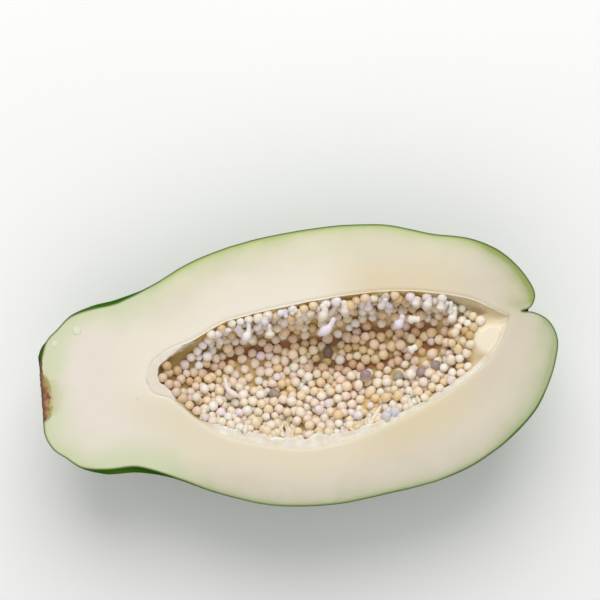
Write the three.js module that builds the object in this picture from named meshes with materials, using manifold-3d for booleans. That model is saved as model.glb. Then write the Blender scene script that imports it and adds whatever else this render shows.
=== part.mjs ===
// Half of an unripe papaya, cut lengthwise and lying on its round back with the cut face up.
// Two solids: the fruit itself (green skin, pale flesh and corky stem scar, grown as one piece)
// and the seed lining, the soft skin of its hollow with the white unripe seeds that grow on it.
// Millimetres. +X runs from the stem end to the blossom end, +Y to the far side, +Z up.
// The origin is under the middle of the fruit, in the plane that it rests on.
import * as THREE from "three";
import { mergeVertices } from "three/addons/utils/BufferGeometryUtils.js";
import Module from "manifold-3d";

// Driving dimensions
const CUT_HEIGHT = 62.3; // from the resting surface up to the cut face
const ROUNDNESS = 0.945; // depth of a cross-section below its middle, as a share of its half width
const BELLY_STATION = 2; // the back is deepest here along X, and shallower by this share
const BELLY_TAPER = 0.055; // at a distance of BELLY_REACH from there
const BELLY_REACH = 100;
const NECK_DROP = 5; // how far the neck's middle lies below the cut face
const NECK_RISE = [-126, -98]; // stations along X between which the drop grows
const NECK_FALL = [-88, -40]; // and those between which it fades out
const END_RECESS = 7; // below the cut face the blossom end is shorter by this much
const RECESS_RISE = [0.72, 0.86]; // shares of the outline between which the recess grows
const RECESS_FALL = [0.88, 1]; // and those between which it fades into the dimple
const LOBES = 5; // a papaya grows from five carpels, which show as soft ribs
const HOLLOW_DEPTH = 0.84; // depth of the hollow, as a share of its half width
const HOLLOW_LEAN = 10; // the deepest line of the hollow lies this far towards the far side
const LEAN_WIDTH = 30; // and less far where its half width is under this
const LINING_GAP = 0.35; // clearance between the flesh and the lining
const LINING_THICKNESS = 1.8;
const SEED_SPACING = 5.6; // a little over the seeds' real 5 mm, so that fewer of them cover the lining
const VALLEY_HEIGHT = 0.2; // height over the lining between the seeds
const SHOULDER_RADIUS = 2.15; // a seed's round side, and how high over the lining it lies
const SHOULDER_HEIGHT = 2.7;
const TOP_HEIGHT = 4.0;
const SEED_VARIATION = 0.3; // the seeds' sizes differ by this share
const SEED_OVALNESS = 0.1;
const CORNER_SHIFT = 0.35; // how unevenly they are packed
const SEED_DRAW = 7; // start of the random draw
const BARE_ROUND_TIP = 9; // parts of the lining with no seeds, measured along it
const BARE_SHARP_TIP = 20;
const BARE_FAR_RIM = 3.8;
const BARE_NEAR_RIM = 7;
const RIM_STEPS = 40;
const RIM_SPAN = [0.02, 0.985]; // the part of the hollow's length over which its lining is open
const LID_LIFT = 8; // how far the space taken out of the hollow reaches above the cut face
const LID_MIDDLE = [20, 0];
const CUTTER_SIZE = 400; // wider than any piece here
const BACK = 1.5 * Math.PI; // the angle of the fruit's back, straight down
const FRUIT_RINGS = 68;
const FRUIT_SIDES = 52;
const HOLLOW_RINGS = 36;
const HOLLOW_SIDES = 32;

// The cut outline, from the middle of the stem scar round the far side to the blossom dimple,
// and the same stations round the near side. Each pair of points [x, y] is one ring of the fruit.
const FAR_OUTLINE = [
  [-122.9, 12.0], [-122.3, 19.5], [-121.0, 25.6], [-119.3, 30.0], [-116.2, 35.7], [-110.9, 40.0],
  [-103.4, 45.6], [-93.0, 48.4], [-79.0, 49.3], [-62.9, 52.9], [-45.0, 59.8], [-22.0, 64.8],
  [5.0, 66.3], [32.0, 65.2], [54.0, 61.6], [74.0, 53.8], [93.0, 47.8], [106.5, 38.8],
  [115.3, 25.9], [118.2, 15.8], [115.7, 10.7], [113.6, 9.6], [110.8, 9.2],
];
const NEAR_OUTLINE = [
  [-122.9, 12.0], [-123.7, 4.0], [-124.4, -2.2], [-124.7, -9.5], [-121.8, -16.8], [-116.4, -21.8],
  [-110.3, -27.5], [-100.0, -31.6], [-83.4, -33.6], [-67.5, -39.9], [-47.0, -51.3], [-24.0, -60.9],
  [3.0, -65.7], [32.0, -65.5], [55.8, -63.6], [75.5, -58.6], [94.4, -49.4], [109.8, -37.0],
  [119.8, -22.2], [125.0, -7.6], [122.6, 2.3], [116.9, 7.5], [110.8, 9.2],
];

// How far the ribs stand out from a smooth section at each of those rings, as a share of its size.
const RIB_HEIGHT = [
  0, 0.02, 0.03, 0.02, 0.005, 0.01, 0.015, 0.045, 0.05, 0.016, 0.012, 0.012,
  0.01, 0.01, 0.014, 0.022, 0.035, 0.05, 0.06, 0.06, 0.05, 0.02, 0,
];

// The rim of the seed hollow in the cut face, from its round tip to its sharp one, in the same way.
const FAR_RIM = [
  [-72.3, 8.0], [-69.0, 15.8], [-61.0, 20.4], [-46.5, 24.2], [-31.9, 29.4], [-14.0, 31.4],
  [8.0, 32.2], [30.0, 32.0], [52.0, 30.2], [72.0, 25.4], [88.0, 19.6], [98.0, 12.6], [104.5, 7.9],
];
const NEAR_RIM = [
  [-72.3, 8.0], [-70.6, 2.6], [-62.5, -2.2], [-53.0, -13.2], [-41.0, -24.0], [-24.0, -31.5],
  [-6.0, -37.0], [14.0, -37.4], [36.0, -33.4], [58.0, -27.0], [80.0, -17.4], [96.0, -6.0],
  [104.5, 7.9],
];

const FLESH_COLOUR = new THREE.Color(0xe9e0c9);
const SKIN_COLOUR = new THREE.Color(0x3f7a24);
const SCAR_COLOUR = new THREE.Color(0x8a6844);
const SCAR_RADIUS = 14;
const SCAR_STATION = -120.5; // cork shows only beyond it
const FLAT_SPOT_HEIGHT = 0.01;

const wasm = await Module();
wasm.setup();

// A curve through [x, y] points that passes the point of index i at parameter i / (count - 1).
function curveThrough(points) {
  return new THREE.CatmullRomCurve3(
    points.map(([x, y]) => new THREE.Vector3(x, y, 0)), false, "centripetal");
}

// Reads a list of numbers at a parameter from 0 to 1, with straight lines between them.
function readAlong(values, t) {
  const place = t * (values.length - 1);
  const index = Math.min(Math.floor(place), values.length - 2);
  return THREE.MathUtils.lerp(values[index], values[index + 1], place - index);
}

// A closed surface of rings between two poles. pointAt(t, angle) gives a point of ring t at that angle.
function spindle(pointAt, rings, sides) {
  const positions = [...pointAt(0, 0).toArray()];
  const faces = [];
  for (let ring = 1; ring < rings; ring++) {
    for (let side = 0; side < sides; side++) {
      positions.push(...pointAt(ring / rings, (2 * Math.PI * side) / sides).toArray());
    }
  }
  positions.push(...pointAt(1, 0).toArray());
  const last = positions.length / 3 - 1;
  const vertex = (ring, side) => 1 + (ring - 1) * sides + (side % sides);
  for (let side = 0; side < sides; side++) {
    faces.push(0, vertex(1, side), vertex(1, side + 1));
    for (let ring = 1; ring < rings - 1; ring++) {
      const [a, b] = [vertex(ring, side), vertex(ring, side + 1)];
      const [c, d] = [vertex(ring + 1, side), vertex(ring + 1, side + 1)];
      faces.push(a, c, d, a, d, b);
    }
    faces.push(last, vertex(rings - 1, side + 1), vertex(rings - 1, side));
  }
  const geometry = new THREE.BufferGeometry();
  geometry.setAttribute("position", new THREE.Float32BufferAttribute(positions, 3));
  geometry.setIndex(faces);
  return geometry;
}

// The solid of a closed geometry, turned face out if it is inside out.
function solidOf(geometry) {
  const bare = geometry.clone();
  for (const name of Object.keys(bare.attributes)) {
    if (name !== "position") bare.deleteAttribute(name);
  }
  const merged = mergeVertices(bare, 1e-4);
  const build = (triVerts) => new wasm.Manifold(new wasm.Mesh({
    numProp: 3,
    vertProperties: Float32Array.from(merged.attributes.position.array),
    triVerts,
  })).asOriginal();
  const solid = build(Uint32Array.from(merged.index.array));
  if (solid.volume() > 0) return solid;
  const flipped = Uint32Array.from(merged.index.array);
  for (let i = 0; i < flipped.length; i += 3) {
    [flipped[i + 1], flipped[i + 2]] = [flipped[i + 2], flipped[i + 1]];
  }
  return build(flipped);
}

// A box between two heights, wide enough to cut any piece here.
function slab(low, high) {
  const block = new THREE.BoxGeometry(CUTTER_SIZE, CUTTER_SIZE, high - low);
  return solidOf(block.translate(0, 0, (low + high) / 2));
}

function geometryOf(solid) {
  const mesh = solid.getMesh();
  const geometry = new THREE.BufferGeometry();
  geometry.setAttribute("position", new THREE.BufferAttribute(mesh.vertProperties, 3));
  geometry.setIndex(new THREE.BufferAttribute(mesh.triVerts, 1));
  return geometry;
}

const farOutline = curveThrough(FAR_OUTLINE);
const nearOutline = curveThrough(NEAR_OUTLINE);
const farRim = curveThrough(FAR_RIM);
const nearRim = curveThrough(NEAR_RIM);

// How far the fruit's middle lies below the cut face at a station along X.
function neckDrop(x) {
  const { smoothstep } = THREE.MathUtils;
  return NECK_DROP * smoothstep(x, ...NECK_RISE) * (1 - smoothstep(x, ...NECK_FALL));
}

// Depth of a cross-section as a share of its half width, which is largest at the belly.
function roundnessAt(x) {
  return ROUNDNESS * (1 - BELLY_TAPER * ((x - BELLY_STATION) / BELLY_REACH) ** 2);
}

// How far the fruit's back is set in from its cut outline at the blossom end.
function endRecess(t) {
  const { smoothstep } = THREE.MathUtils;
  return END_RECESS * smoothstep(t, ...RECESS_RISE) * (1 - smoothstep(t, ...RECESS_FALL));
}

// A point of the whole fruit's skin. Angle 0 is the far side, 180 degrees the near one, 270 the back.
function skinPoint(t, angle) {
  const far = farOutline.getPoint(t);
  const near = nearOutline.getPoint(t);
  const [across, down] = [Math.cos(angle), Math.sin(angle)];
  const middle = far.clone().add(near).multiplyScalar(0.5);
  const halfWidth = (far.y - near.y) / 2;
  const rib = 1 - readAlong(RIB_HEIGHT, t) * Math.sin(LOBES * angle);
  const x = middle.x + ((far.x - near.x) / 2) * across;
  return new THREE.Vector3(
    x - endRecess(t) * down * down,
    middle.y + halfWidth * across * rib,
    CUT_HEIGHT - neckDrop(x) + halfWidth * roundnessAt(x) * down * rib);
}

// A point of the hollow's wall, moved in from it by inset.
function hollowPoint(t, angle, inset) {
  const far = farRim.getPoint(t);
  const near = nearRim.getPoint(t);
  const [across, down] = [Math.cos(angle), Math.sin(angle)];
  const middle = far.clone().add(near).multiplyScalar(0.5);
  const halfWidth = (far.y - near.y) / 2;
  const narrowed = Math.max(halfWidth - inset, 0) / Math.max(halfWidth, 1e-6);
  const towardsTips = inset * Math.cos(Math.PI * t);
  const lean = HOLLOW_LEAN * (1 - across * across) * Math.min(halfWidth / LEAN_WIDTH, 1);
  return new THREE.Vector3(
    middle.x + ((far.x - near.x) / 2) * across + towardsTips,
    middle.y + halfWidth * narrowed * across + lean,
    CUT_HEIGHT + halfWidth * narrowed * HOLLOW_DEPTH * down);
}

function hollow(inset) {
  return solidOf(spindle((t, angle) => hollowPoint(t, angle, inset), HOLLOW_RINGS, HOLLOW_SIDES));
}

// The colour of the grown outside of the fruit at a point: green skin or the corky scar.
function outsideColour(point) {
  const fromStem = Math.hypot(point.y - FAR_OUTLINE[0][1], point.z - CUT_HEIGHT);
  return point.x < SCAR_STATION && fromStem < SCAR_RADIUS ? SCAR_COLOUR : SKIN_COLOUR;
}

// Skin, flesh and stem scar are one grown body: the whole fruit, cut through, with its hollow opened.
// Every face has the colour of what it shows, and the flat spot is skin too.
function fruitGeometry() {
  const whole = solidOf(spindle(skinPoint, FRUIT_RINGS, FRUIT_SIDES));
  const solid = whole.intersect(slab(0, CUT_HEIGHT)).subtract(hollow(0));
  const { runOriginalID, runIndex } = solid.getMesh();
  const geometry = geometryOf(solid).toNonIndexed();
  const at = geometry.getAttribute("position");
  const colours = new Float32Array(at.count * 3);
  const centre = new THREE.Vector3();
  const corner = new THREE.Vector3();
  runOriginalID.forEach((origin, run) => {
    for (let i = runIndex[run]; i < runIndex[run + 1]; i += 3) {
      centre.set(0, 0, 0);
      for (let k = 0; k < 3; k++) centre.add(corner.fromBufferAttribute(at, i + k));
      centre.divideScalar(3);
      const grown = origin === whole.originalID() || centre.z < FLAT_SPOT_HEIGHT;
      const colour = grown ? outsideColour(centre) : FLESH_COLOUR;
      for (let k = 0; k < 3; k++) colour.toArray(colours, 3 * (i + k));
    }
  });
  geometry.setAttribute("color", new THREE.BufferAttribute(colours, 3));
  geometry.computeVertexNormals();
  return geometry;
}

// Repeatable random numbers from 0 to 1, drawn by a linear congruential rule.
function drawFrom(start) {
  const [factor, step, range] = [1664525, 1013904223, 2 ** 32];
  let state = start;
  return () => {
    state = (state * factor + step) % range;
    return state / range;
  };
}

// Distances walked along a list of points.
function distancesAlong(points) {
  const distances = [0];
  for (let i = 1; i < points.length; i++) {
    distances.push(distances[i - 1] + points[i].distanceTo(points[i - 1]));
  }
  return distances;
}

// The share of the way, from 0 to 1, at which a list of growing distances reaches the one asked for.
function shareAt(distances, wanted) {
  const last = distances.length - 1;
  let i = 1;
  while (i < last && distances[i] < wanted) i++;
  const step = distances[i] - distances[i - 1];
  return (i - 1 + THREE.MathUtils.clamp((wanted - distances[i - 1]) / step, 0, 1)) / last;
}

// The lining's surface laid out flat: u runs along its deepest line, v round its wall to the far side.
const LAYOUT_STEPS = 120;
const LINING_INSET = LINING_GAP + LINING_THICKNESS;
const layoutShares = Array.from({ length: LAYOUT_STEPS + 1 }, (_, i) => i / LAYOUT_STEPS);
const alongBottom = distancesAlong(
  layoutShares.map((t) => hollowPoint(t, BACK, LINING_INSET)));
const liningLength = alongBottom.at(-1);

// Distances from the deepest line up one wall of the section at t; side is 1 for the far wall, -1 the near.
function upTheWall(t, side) {
  return distancesAlong(layoutShares.map(
    (share) => hollowPoint(t, BACK + (side * share * Math.PI) / 2, LINING_INSET)));
}

// The point of the lining at (u, v), raised from it by height.
function liningPoint(u, v, height) {
  const t = shareAt(alongBottom, u);
  const side = v < 0 ? -1 : 1;
  const share = shareAt(upTheWall(t, side), Math.abs(v));
  return hollowPoint(t, BACK + (side * share * Math.PI) / 2, LINING_INSET + height);
}

// The honeycomb of seeds. Its corners have whole-number addresses on a grid of these steps.
const CELL_U = SEED_SPACING / (2 * Math.sqrt(3));
const CELL_V = SEED_SPACING / 2;
const CELL_CORNERS = [[2, 0], [1, 1], [-1, 1], [-2, 0], [-1, -1], [1, -1]];

// Addresses of the cells that have room for a seed between the bare margins of the lining.
function seedCells() {
  const cells = [];
  const rows = Math.floor(liningLength / (3 * CELL_U));
  for (let row = 1; row < rows; row++) {
    const u = 3 * row * CELL_U;
    if (u < BARE_ROUND_TIP || u > liningLength - BARE_SHARP_TIP) continue;
    const t = shareAt(alongBottom, u);
    const farLimit = upTheWall(t, 1).at(-1) - BARE_FAR_RIM;
    const nearLimit = -upTheWall(t, -1).at(-1) + BARE_NEAR_RIM;
    for (let j = Math.ceil(nearLimit / CELL_V); j * CELL_V < farLimit; j++) {
      if ((row + j) % 2 === 0) cells.push([3 * row, j]);
    }
  }
  return cells;
}

// The free space of the hollow as a closed surface. Its underside is the lining with a bead raised
// from it for every seed, and it reaches well above the cut face.
function freeSpaceGeometry() {
  const draw = drawFrom(SEED_DRAW);
  const positions = [];
  const flat = [];
  const faces = [];
  const addPoint = (point, u = 0, v = 0) => {
    positions.push(point.x, point.y, point.z);
    flat.push(new THREE.Vector2(u, v));
    return flat.length - 1;
  };

  const corners = new Map();
  const cornerAt = (i, j) => {
    const key = `${i},${j}`;
    if (!corners.has(key)) {
      const u = (i + (draw() - 0.5) * CORNER_SHIFT) * CELL_U;
      const v = (j + (draw() - 0.5) * CORNER_SHIFT) * CELL_V;
      corners.set(key, addPoint(liningPoint(u, v, VALLEY_HEIGHT), u, v));
    }
    return corners.get(key);
  };

  const rimEdges = new Map();
  for (const [i, j] of seedCells()) {
    const border = CELL_CORNERS.map(([di, dj]) => cornerAt(i + di, j + dj));
    const size = 1 + (draw() - 0.5) * SEED_VARIATION;
    const turn = draw() * Math.PI;
    const shoulder = CELL_CORNERS.map((_, k) => {
      const angle = (k * Math.PI) / 3 + Math.PI / 6;
      const reach = SHOULDER_RADIUS * size * (1 + SEED_OVALNESS * Math.cos(2 * (angle - turn)));
      const u = i * CELL_U + reach * Math.cos(angle);
      const v = j * CELL_V + reach * Math.sin(angle);
      return addPoint(liningPoint(u, v, SHOULDER_HEIGHT * size));
    });
    const top = addPoint(liningPoint(i * CELL_U, j * CELL_V, TOP_HEIGHT * size));
    for (let k = 0; k < 6; k++) {
      const next = (k + 1) % 6;
      faces.push(border[k], border[next], shoulder[k]);
      faces.push(shoulder[k], border[next], shoulder[next]);
      faces.push(shoulder[k], shoulder[next], top);
      const back = `${border[next]},${border[k]}`;
      if (rimEdges.has(back)) rimEdges.delete(back);
      else rimEdges.set(`${border[k]},${border[next]}`, [border[k], border[next]]);
    }
  }

  const follows = new Map(rimEdges.values());
  const honeycomb = [follows.keys().next().value];
  while (follows.get(honeycomb.at(-1)) !== honeycomb[0]) {
    honeycomb.push(follows.get(honeycomb.at(-1)));
  }

  const rim = [];
  for (let k = 0; k < 2 * RIM_STEPS; k++) {
    const outward = k < RIM_STEPS;
    const share = (outward ? k : 2 * RIM_STEPS - k) / RIM_STEPS;
    const t = THREE.MathUtils.lerp(RIM_SPAN[0], RIM_SPAN[1], share);
    const side = outward ? -1 : 1;
    const v = side * upTheWall(t, side).at(-1);
    const point = hollowPoint(t, BACK + (side * Math.PI) / 2, LINING_INSET);
    rim.push(addPoint(point, readAlong(alongBottom, t), v));
  }
  const loops = [rim, [...honeycomb].reverse()];
  const triangles = THREE.ShapeUtils.triangulateShape(
    loops[0].map((n) => flat[n]), [loops[1].map((n) => flat[n])]);
  const numbers = loops.flat();
  for (const triangle of triangles) faces.push(...triangle.map((n) => numbers[n]));

  const lifted = rim.map((n) => addPoint(
    new THREE.Vector3().fromArray(positions, 3 * n).setZ(CUT_HEIGHT + LID_LIFT)));
  const lid = addPoint(new THREE.Vector3(...LID_MIDDLE, CUT_HEIGHT + LID_LIFT));
  rim.forEach((n, k) => {
    const next = (k + 1) % rim.length;
    faces.push(rim[next], n, lifted[k], rim[next], lifted[k], lifted[next]);
    faces.push(lifted[next], lifted[k], lid);
  });

  const geometry = new THREE.BufferGeometry();
  geometry.setAttribute("position", new THREE.Float32BufferAttribute(positions, 3));
  geometry.setIndex(faces);
  return geometry;
}

// The lining is a thin bowl that follows the hollow, with its seeds grown on to it.
function seedLiningSolid() {
  const filled = hollow(LINING_GAP).intersect(slab(0, CUT_HEIGHT));
  return filled.subtract(solidOf(freeSpaceGeometry()));
}

function pieceOf(name, geometry, material) {
  const mesh = new THREE.Mesh(geometry, material);
  mesh.name = name;
  return mesh;
}

const fruitMaterial = new THREE.MeshStandardMaterial({
  color: 0xffffff, vertexColors: true, roughness: 0.45, metalness: 0,
});
const liningMaterial = new THREE.MeshStandardMaterial({
  color: 0xe6d3b8, roughness: 0.4, metalness: 0, flatShading: true,
});

const papaya = new THREE.Group();
papaya.add(pieceOf("fruit_half", fruitGeometry(), fruitMaterial));
papaya.add(pieceOf("seed_lining", geometryOf(seedLiningSolid()), liningMaterial));

export default papaya;
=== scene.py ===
import math

import bmesh
import bpy
import numpy as np
from mathutils import Matrix, Vector, noise
from mathutils.geometry import delaunay_2d_cdt
from mathutils.kdtree import KDTree


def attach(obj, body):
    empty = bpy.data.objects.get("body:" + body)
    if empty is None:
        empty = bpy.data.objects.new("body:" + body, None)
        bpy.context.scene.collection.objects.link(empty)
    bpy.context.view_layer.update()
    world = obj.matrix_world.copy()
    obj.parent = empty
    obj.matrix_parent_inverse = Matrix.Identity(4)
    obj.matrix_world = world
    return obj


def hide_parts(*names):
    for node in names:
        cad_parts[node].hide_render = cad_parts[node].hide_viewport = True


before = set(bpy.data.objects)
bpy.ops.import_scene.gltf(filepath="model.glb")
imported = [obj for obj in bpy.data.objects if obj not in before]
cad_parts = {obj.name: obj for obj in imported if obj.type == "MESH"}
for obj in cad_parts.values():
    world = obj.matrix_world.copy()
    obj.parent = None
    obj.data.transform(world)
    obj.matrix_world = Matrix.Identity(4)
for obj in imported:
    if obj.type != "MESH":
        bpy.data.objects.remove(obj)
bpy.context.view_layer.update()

# The fruit. Skin, flesh and stem scar grew as one body: five carpels round a hollow, pale and firm
# inside, with a thin green waxed skin and a dry corky scar where it hung. One pull of a knife
# has cut it lengthwise and left the flat face.
MM = 0.001
CUT_HEIGHT = 62.3
ROUNDNESS = 0.945
BELLY_STATION = 2
BELLY_TAPER = 0.055
BELLY_REACH = 100
NECK_DROP = 5
NECK_RISE, NECK_FALL = (-126, -98), (-88, -40)
END_RECESS = 7
RECESS_RISE = (0.72, 0.86)
RECESS_FALL = (0.88, 1)
SHOULDER = 2.2  # the skin bulges past the cut by this much beside the stem, on the far side
SHOULDER_SPAN = (0.07, 0.13, 0.15, 0.2)
LOBES = 5
FAR_OUTLINE = [
    (-122.9, 12.0), (-122.3, 19.5), (-121.0, 25.6), (-119.3, 30.0), (-116.2, 35.7), (-110.9, 40.0),
    (-103.4, 45.6), (-93.0, 48.4), (-79.0, 49.3), (-62.9, 52.9), (-45.0, 59.8), (-22.0, 64.8),
    (5.0, 66.3), (32.0, 65.2), (54.0, 61.6), (74.0, 53.8), (93.0, 47.8), (106.5, 38.8),
    (115.3, 25.9), (118.2, 15.8), (115.7, 10.7), (113.6, 9.6), (110.8, 9.2)]
NEAR_OUTLINE = [
    (-122.9, 12.0), (-123.7, 4.0), (-124.4, -2.2), (-124.7, -9.5), (-121.8, -16.8), (-116.4, -21.8),
    (-110.3, -27.5), (-100.0, -31.6), (-83.4, -33.6), (-67.5, -39.9), (-47.0, -51.3), (-24.0, -60.9),
    (3.0, -65.7), (32.0, -65.5), (55.8, -63.6), (75.5, -58.6), (94.4, -49.4), (109.8, -37.0),
    (119.8, -22.2), (125.0, -7.6), (122.6, 2.3), (116.9, 7.5), (110.8, 9.2)]
RIB_HEIGHT = [
    0, 0.02, 0.03, 0.02, 0.005, 0.01, 0.015, 0.045, 0.05, 0.016, 0.012, 0.012,
    0.01, 0.01, 0.014, 0.022, 0.035, 0.05, 0.06, 0.06, 0.05, 0.02, 0]
FAR_RIM = [
    (-72.3, 8.0), (-69.0, 15.8), (-61.0, 20.4), (-46.5, 24.2), (-31.9, 29.4), (-14.0, 31.4),
    (8.0, 32.2), (30.0, 32.0), (52.0, 30.2), (72.0, 25.4), (88.0, 19.6), (98.0, 12.6), (104.5, 7.9)]
NEAR_RIM = [
    (-72.3, 8.0), (-70.6, 2.6), (-62.5, -2.2), (-53.0, -13.2), (-41.0, -24.0), (-24.0, -31.5),
    (-6.0, -37.0), (14.0, -37.4), (36.0, -33.4), (58.0, -27.0), (80.0, -17.4), (96.0, -6.0),
    (104.5, 7.9)]
HOLLOW_DEPTH = 0.84
HOLLOW_LEAN = 10
SKIN_RINGS, SKIN_SIDES = 320, 280
HOLLOW_RINGS, HOLLOW_SIDES = 200, 84
FLAT_SPOT_SOFTNESS = 0.3  # the back is pressed flat where it rests, with an edge this soft
SCAR_SHARE = 0.09  # the scar reaches this far along the outline
SCAR_TIPS = (-2.8, 27.5)  # where its cork ends in the cut outline, along Y
STEM_END = -115  # and the outline near the stem lies before this, along X
CORK_DEPTHS = [  # how deep the cork goes into the cut face at places along Y
    (-2.8, 0.3), (0.5, 2.6), (4, 3.4), (8.8, 4.2), (13, 3.2), (18, 1.9), (23, 1.0), (27.5, 0.3)]
FLESH_STEP = 1.7  # spacing of the points on the cut face
FINE_STEP = 0.6  # and of those beside the stem scar and the blossom dimple
STEM_CORNER, BLOSSOM_CORNER = (-124, 12), (113, 9)  # where those lie, and how far they reach
STEM_REACH, BLOSSOM_REACH = (13, 19), (8, 6)
WEDGE_TOP, WEDGE_BOTTOM = (-17.8, -16.4), (-2.5, 1.5)  # bounds of the pale wedge behind the scar
WEDGE_DEPTH = 9
OLIVE_STRIP = [(-4, 0), (-1.5, 1), (2.5, 1), (5, 0.45), (10, 0.45), (13, 1), (18, 0.9), (21, 0)]
OLIVE_FADE = (0.9, 2.4)
LIP_DROP = 0.5  # the flesh rounds off by this much at the hollow's rim
LIP_WIDTH = 1.4
DENTS, SMALL_DENTS, GROWTH_LINES = (0.35, 26), (0.07, 7), (0.06, 5)  # heights and sizes on the skin
CRUST, CRUST_PITS = (0.45, 3.2), (0.35, 1.7)  # on the scar
KNIFE_WAVES, KNIFE_DRAG = (0.1, 30), (0.03, 4)  # on the cut
SCAR_RAGS = (0.6, 2.2)  # on the outline of the wedge and of the olive strip
HOLLOW_LUMPS = (0.25, 9)  # and on the hollow's wall
LENGTHWISE = (0.12, 1, 1)
RELIEF_FADE = 4  # the skin's relief fades out over this much below the cut
KNIFE_FADE = 3  # and the cut's over this much from the skin
SKIN, FLESH, HOLLOW_FLESH, SCAR = range(4)


def curve_at(points, shares):
    """A smooth curve through points, read at shares from 0 to 1 of their count."""
    known = np.array(points, dtype=float)
    padded = np.vstack([2 * known[0] - known[1], known, 2 * known[-1] - known[-2]])
    place = np.clip(np.asarray(shares, dtype=float), 0, 1) * (len(known) - 1)
    index = np.minimum(place.astype(int), len(known) - 2)
    way = (place - index)[:, None]
    before, start, end, after = (padded[index + k] for k in range(4))
    step_in, step, step_out = (
        np.sqrt(np.linalg.norm(b - a, axis=1))[:, None]
        for a, b in ((before, start), (start, end), (end, after)))
    leave = (start - before) / step_in - (end - before) / (step_in + step) + (end - start) / step
    arrive = (end - start) / step - (after - start) / (step + step_out) + (after - end) / step_out
    leave, arrive = leave * step, arrive * step
    bend = 3 * (end - start) - 2 * leave - arrive
    return start + leave * way + bend * way**2 + (leave + arrive - 2 * (end - start)) * way**3


def smooth_step(values, low, high):
    share = np.clip((np.asarray(values, dtype=float) - low) / (high - low), 0, 1)
    return share * share * (3 - 2 * share)


def noise_over(points, size, octaves=3, stretch=(1, 1, 1)):
    """Soft noise from about -1 to 1 at points in mm, with features of this size in mm."""
    scaled = np.asarray(points) * np.array(stretch) / size
    return np.array([noise.fractal(Vector(p), 0.9, 2.0, octaves) for p in scaled])


def relief(points, height, size, octaves=2, stretch=(1, 1, 1)):
    """Soft lumps and dents of a height and a size in mm."""
    return height * noise_over(points, size, octaves, stretch)


def skin_grid():
    """Rings of points round the whole fruit, from the stem's pole to the blossom's."""
    shares = np.linspace(0, 1, SKIN_RINGS + 1)
    angles = np.linspace(0, 2 * math.pi, SKIN_SIDES, endpoint=False)[None, :]
    far, near = curve_at(FAR_OUTLINE, shares), curve_at(NEAR_OUTLINE, shares)
    middle, half_span = (far + near) / 2, (far - near) / 2
    ribs = np.interp(shares, np.linspace(0, 1, len(RIB_HEIGHT)), RIB_HEIGHT)[:, None]
    rib = 1 - ribs * np.sin(LOBES * angles)
    x = middle[:, :1] + half_span[:, :1] * np.cos(angles)
    y = middle[:, 1:] + half_span[:, 1:] * np.cos(angles) * rib
    roundness = ROUNDNESS * (1 - BELLY_TAPER * ((x - BELLY_STATION) / BELLY_REACH) ** 2)
    drop = NECK_DROP * smooth_step(x, *NECK_RISE) * (1 - smooth_step(x, *NECK_FALL))
    z = CUT_HEIGHT - drop + half_span[:, 1:] * roundness * np.sin(angles) * rib
    recess = END_RECESS * smooth_step(shares, *RECESS_RISE) * (1 - smooth_step(shares, *RECESS_FALL))
    rise, fall = SHOULDER_SPAN[:2], SHOULDER_SPAN[2:]
    bulge = SHOULDER * smooth_step(shares, *rise) * (1 - smooth_step(shares, *fall))
    bulge = bulge[:, None] * smooth_step(np.cos(angles), 0, 0.7) * smooth_step(CUT_HEIGHT - z, 0, 5)
    return np.stack([x - recess[:, None] * np.sin(angles) ** 2 - bulge, y, z], axis=2)


def ring_faces(rings, sides):
    """Quads between closed rings, and triangles round the pole at each end."""
    first = [[0, 1 + s, 1 + (s + 1) % sides] for s in range(sides)]
    end = 1 + (rings - 1) * sides
    last = [[end, end - sides + (s + 1) % sides, end - sides + s] for s in range(sides)]
    between = [
        [a + s, a + sides + s, a + sides + (s + 1) % sides, a + (s + 1) % sides]
        for a in range(1, end - sides, sides) for s in range(sides)]
    return first, between, last


def outward_normals(grid):
    """Unit normals of a grid whose rings close, pointing away from its middle line."""
    along = np.gradient(grid, axis=0)
    around = np.roll(grid, -1, axis=1) - np.roll(grid, 1, axis=1)
    normals = np.cross(around, along)
    return normals / np.maximum(np.linalg.norm(normals, axis=2, keepdims=True), 1e-9)


def weathered_skin(grid):
    """Adds what growing leaves on the skin: shallow dents, faint lengthwise lines, a rough scar."""
    flat = grid.reshape(-1, 3)
    share = np.repeat(np.linspace(0, 1, len(grid)), grid.shape[1])
    on_scar = 1 - smooth_step(share, SCAR_SHARE * 0.85, SCAR_SHARE * 1.15)
    dents = relief(flat, *DENTS) + relief(flat, *SMALL_DENTS)
    lines = relief(flat, *GROWTH_LINES, stretch=LENGTHWISE)
    crust = np.abs(relief(flat, *CRUST, 3)) - np.abs(relief(flat + 40, *CRUST_PITS))
    height = (dents + lines) * (1 - on_scar) + crust * on_scar
    push = outward_normals(grid).reshape(-1, 3) * height[:, None]
    push[:, 2] *= smooth_step(CUT_HEIGHT - flat[:, 2], 0, RELIEF_FADE)
    grown = flat + push
    grown[:, 2] = (grown[:, 2] + np.hypot(grown[:, 2], FLAT_SPOT_SOFTNESS)) / 2
    return grown.reshape(grid.shape)


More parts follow.
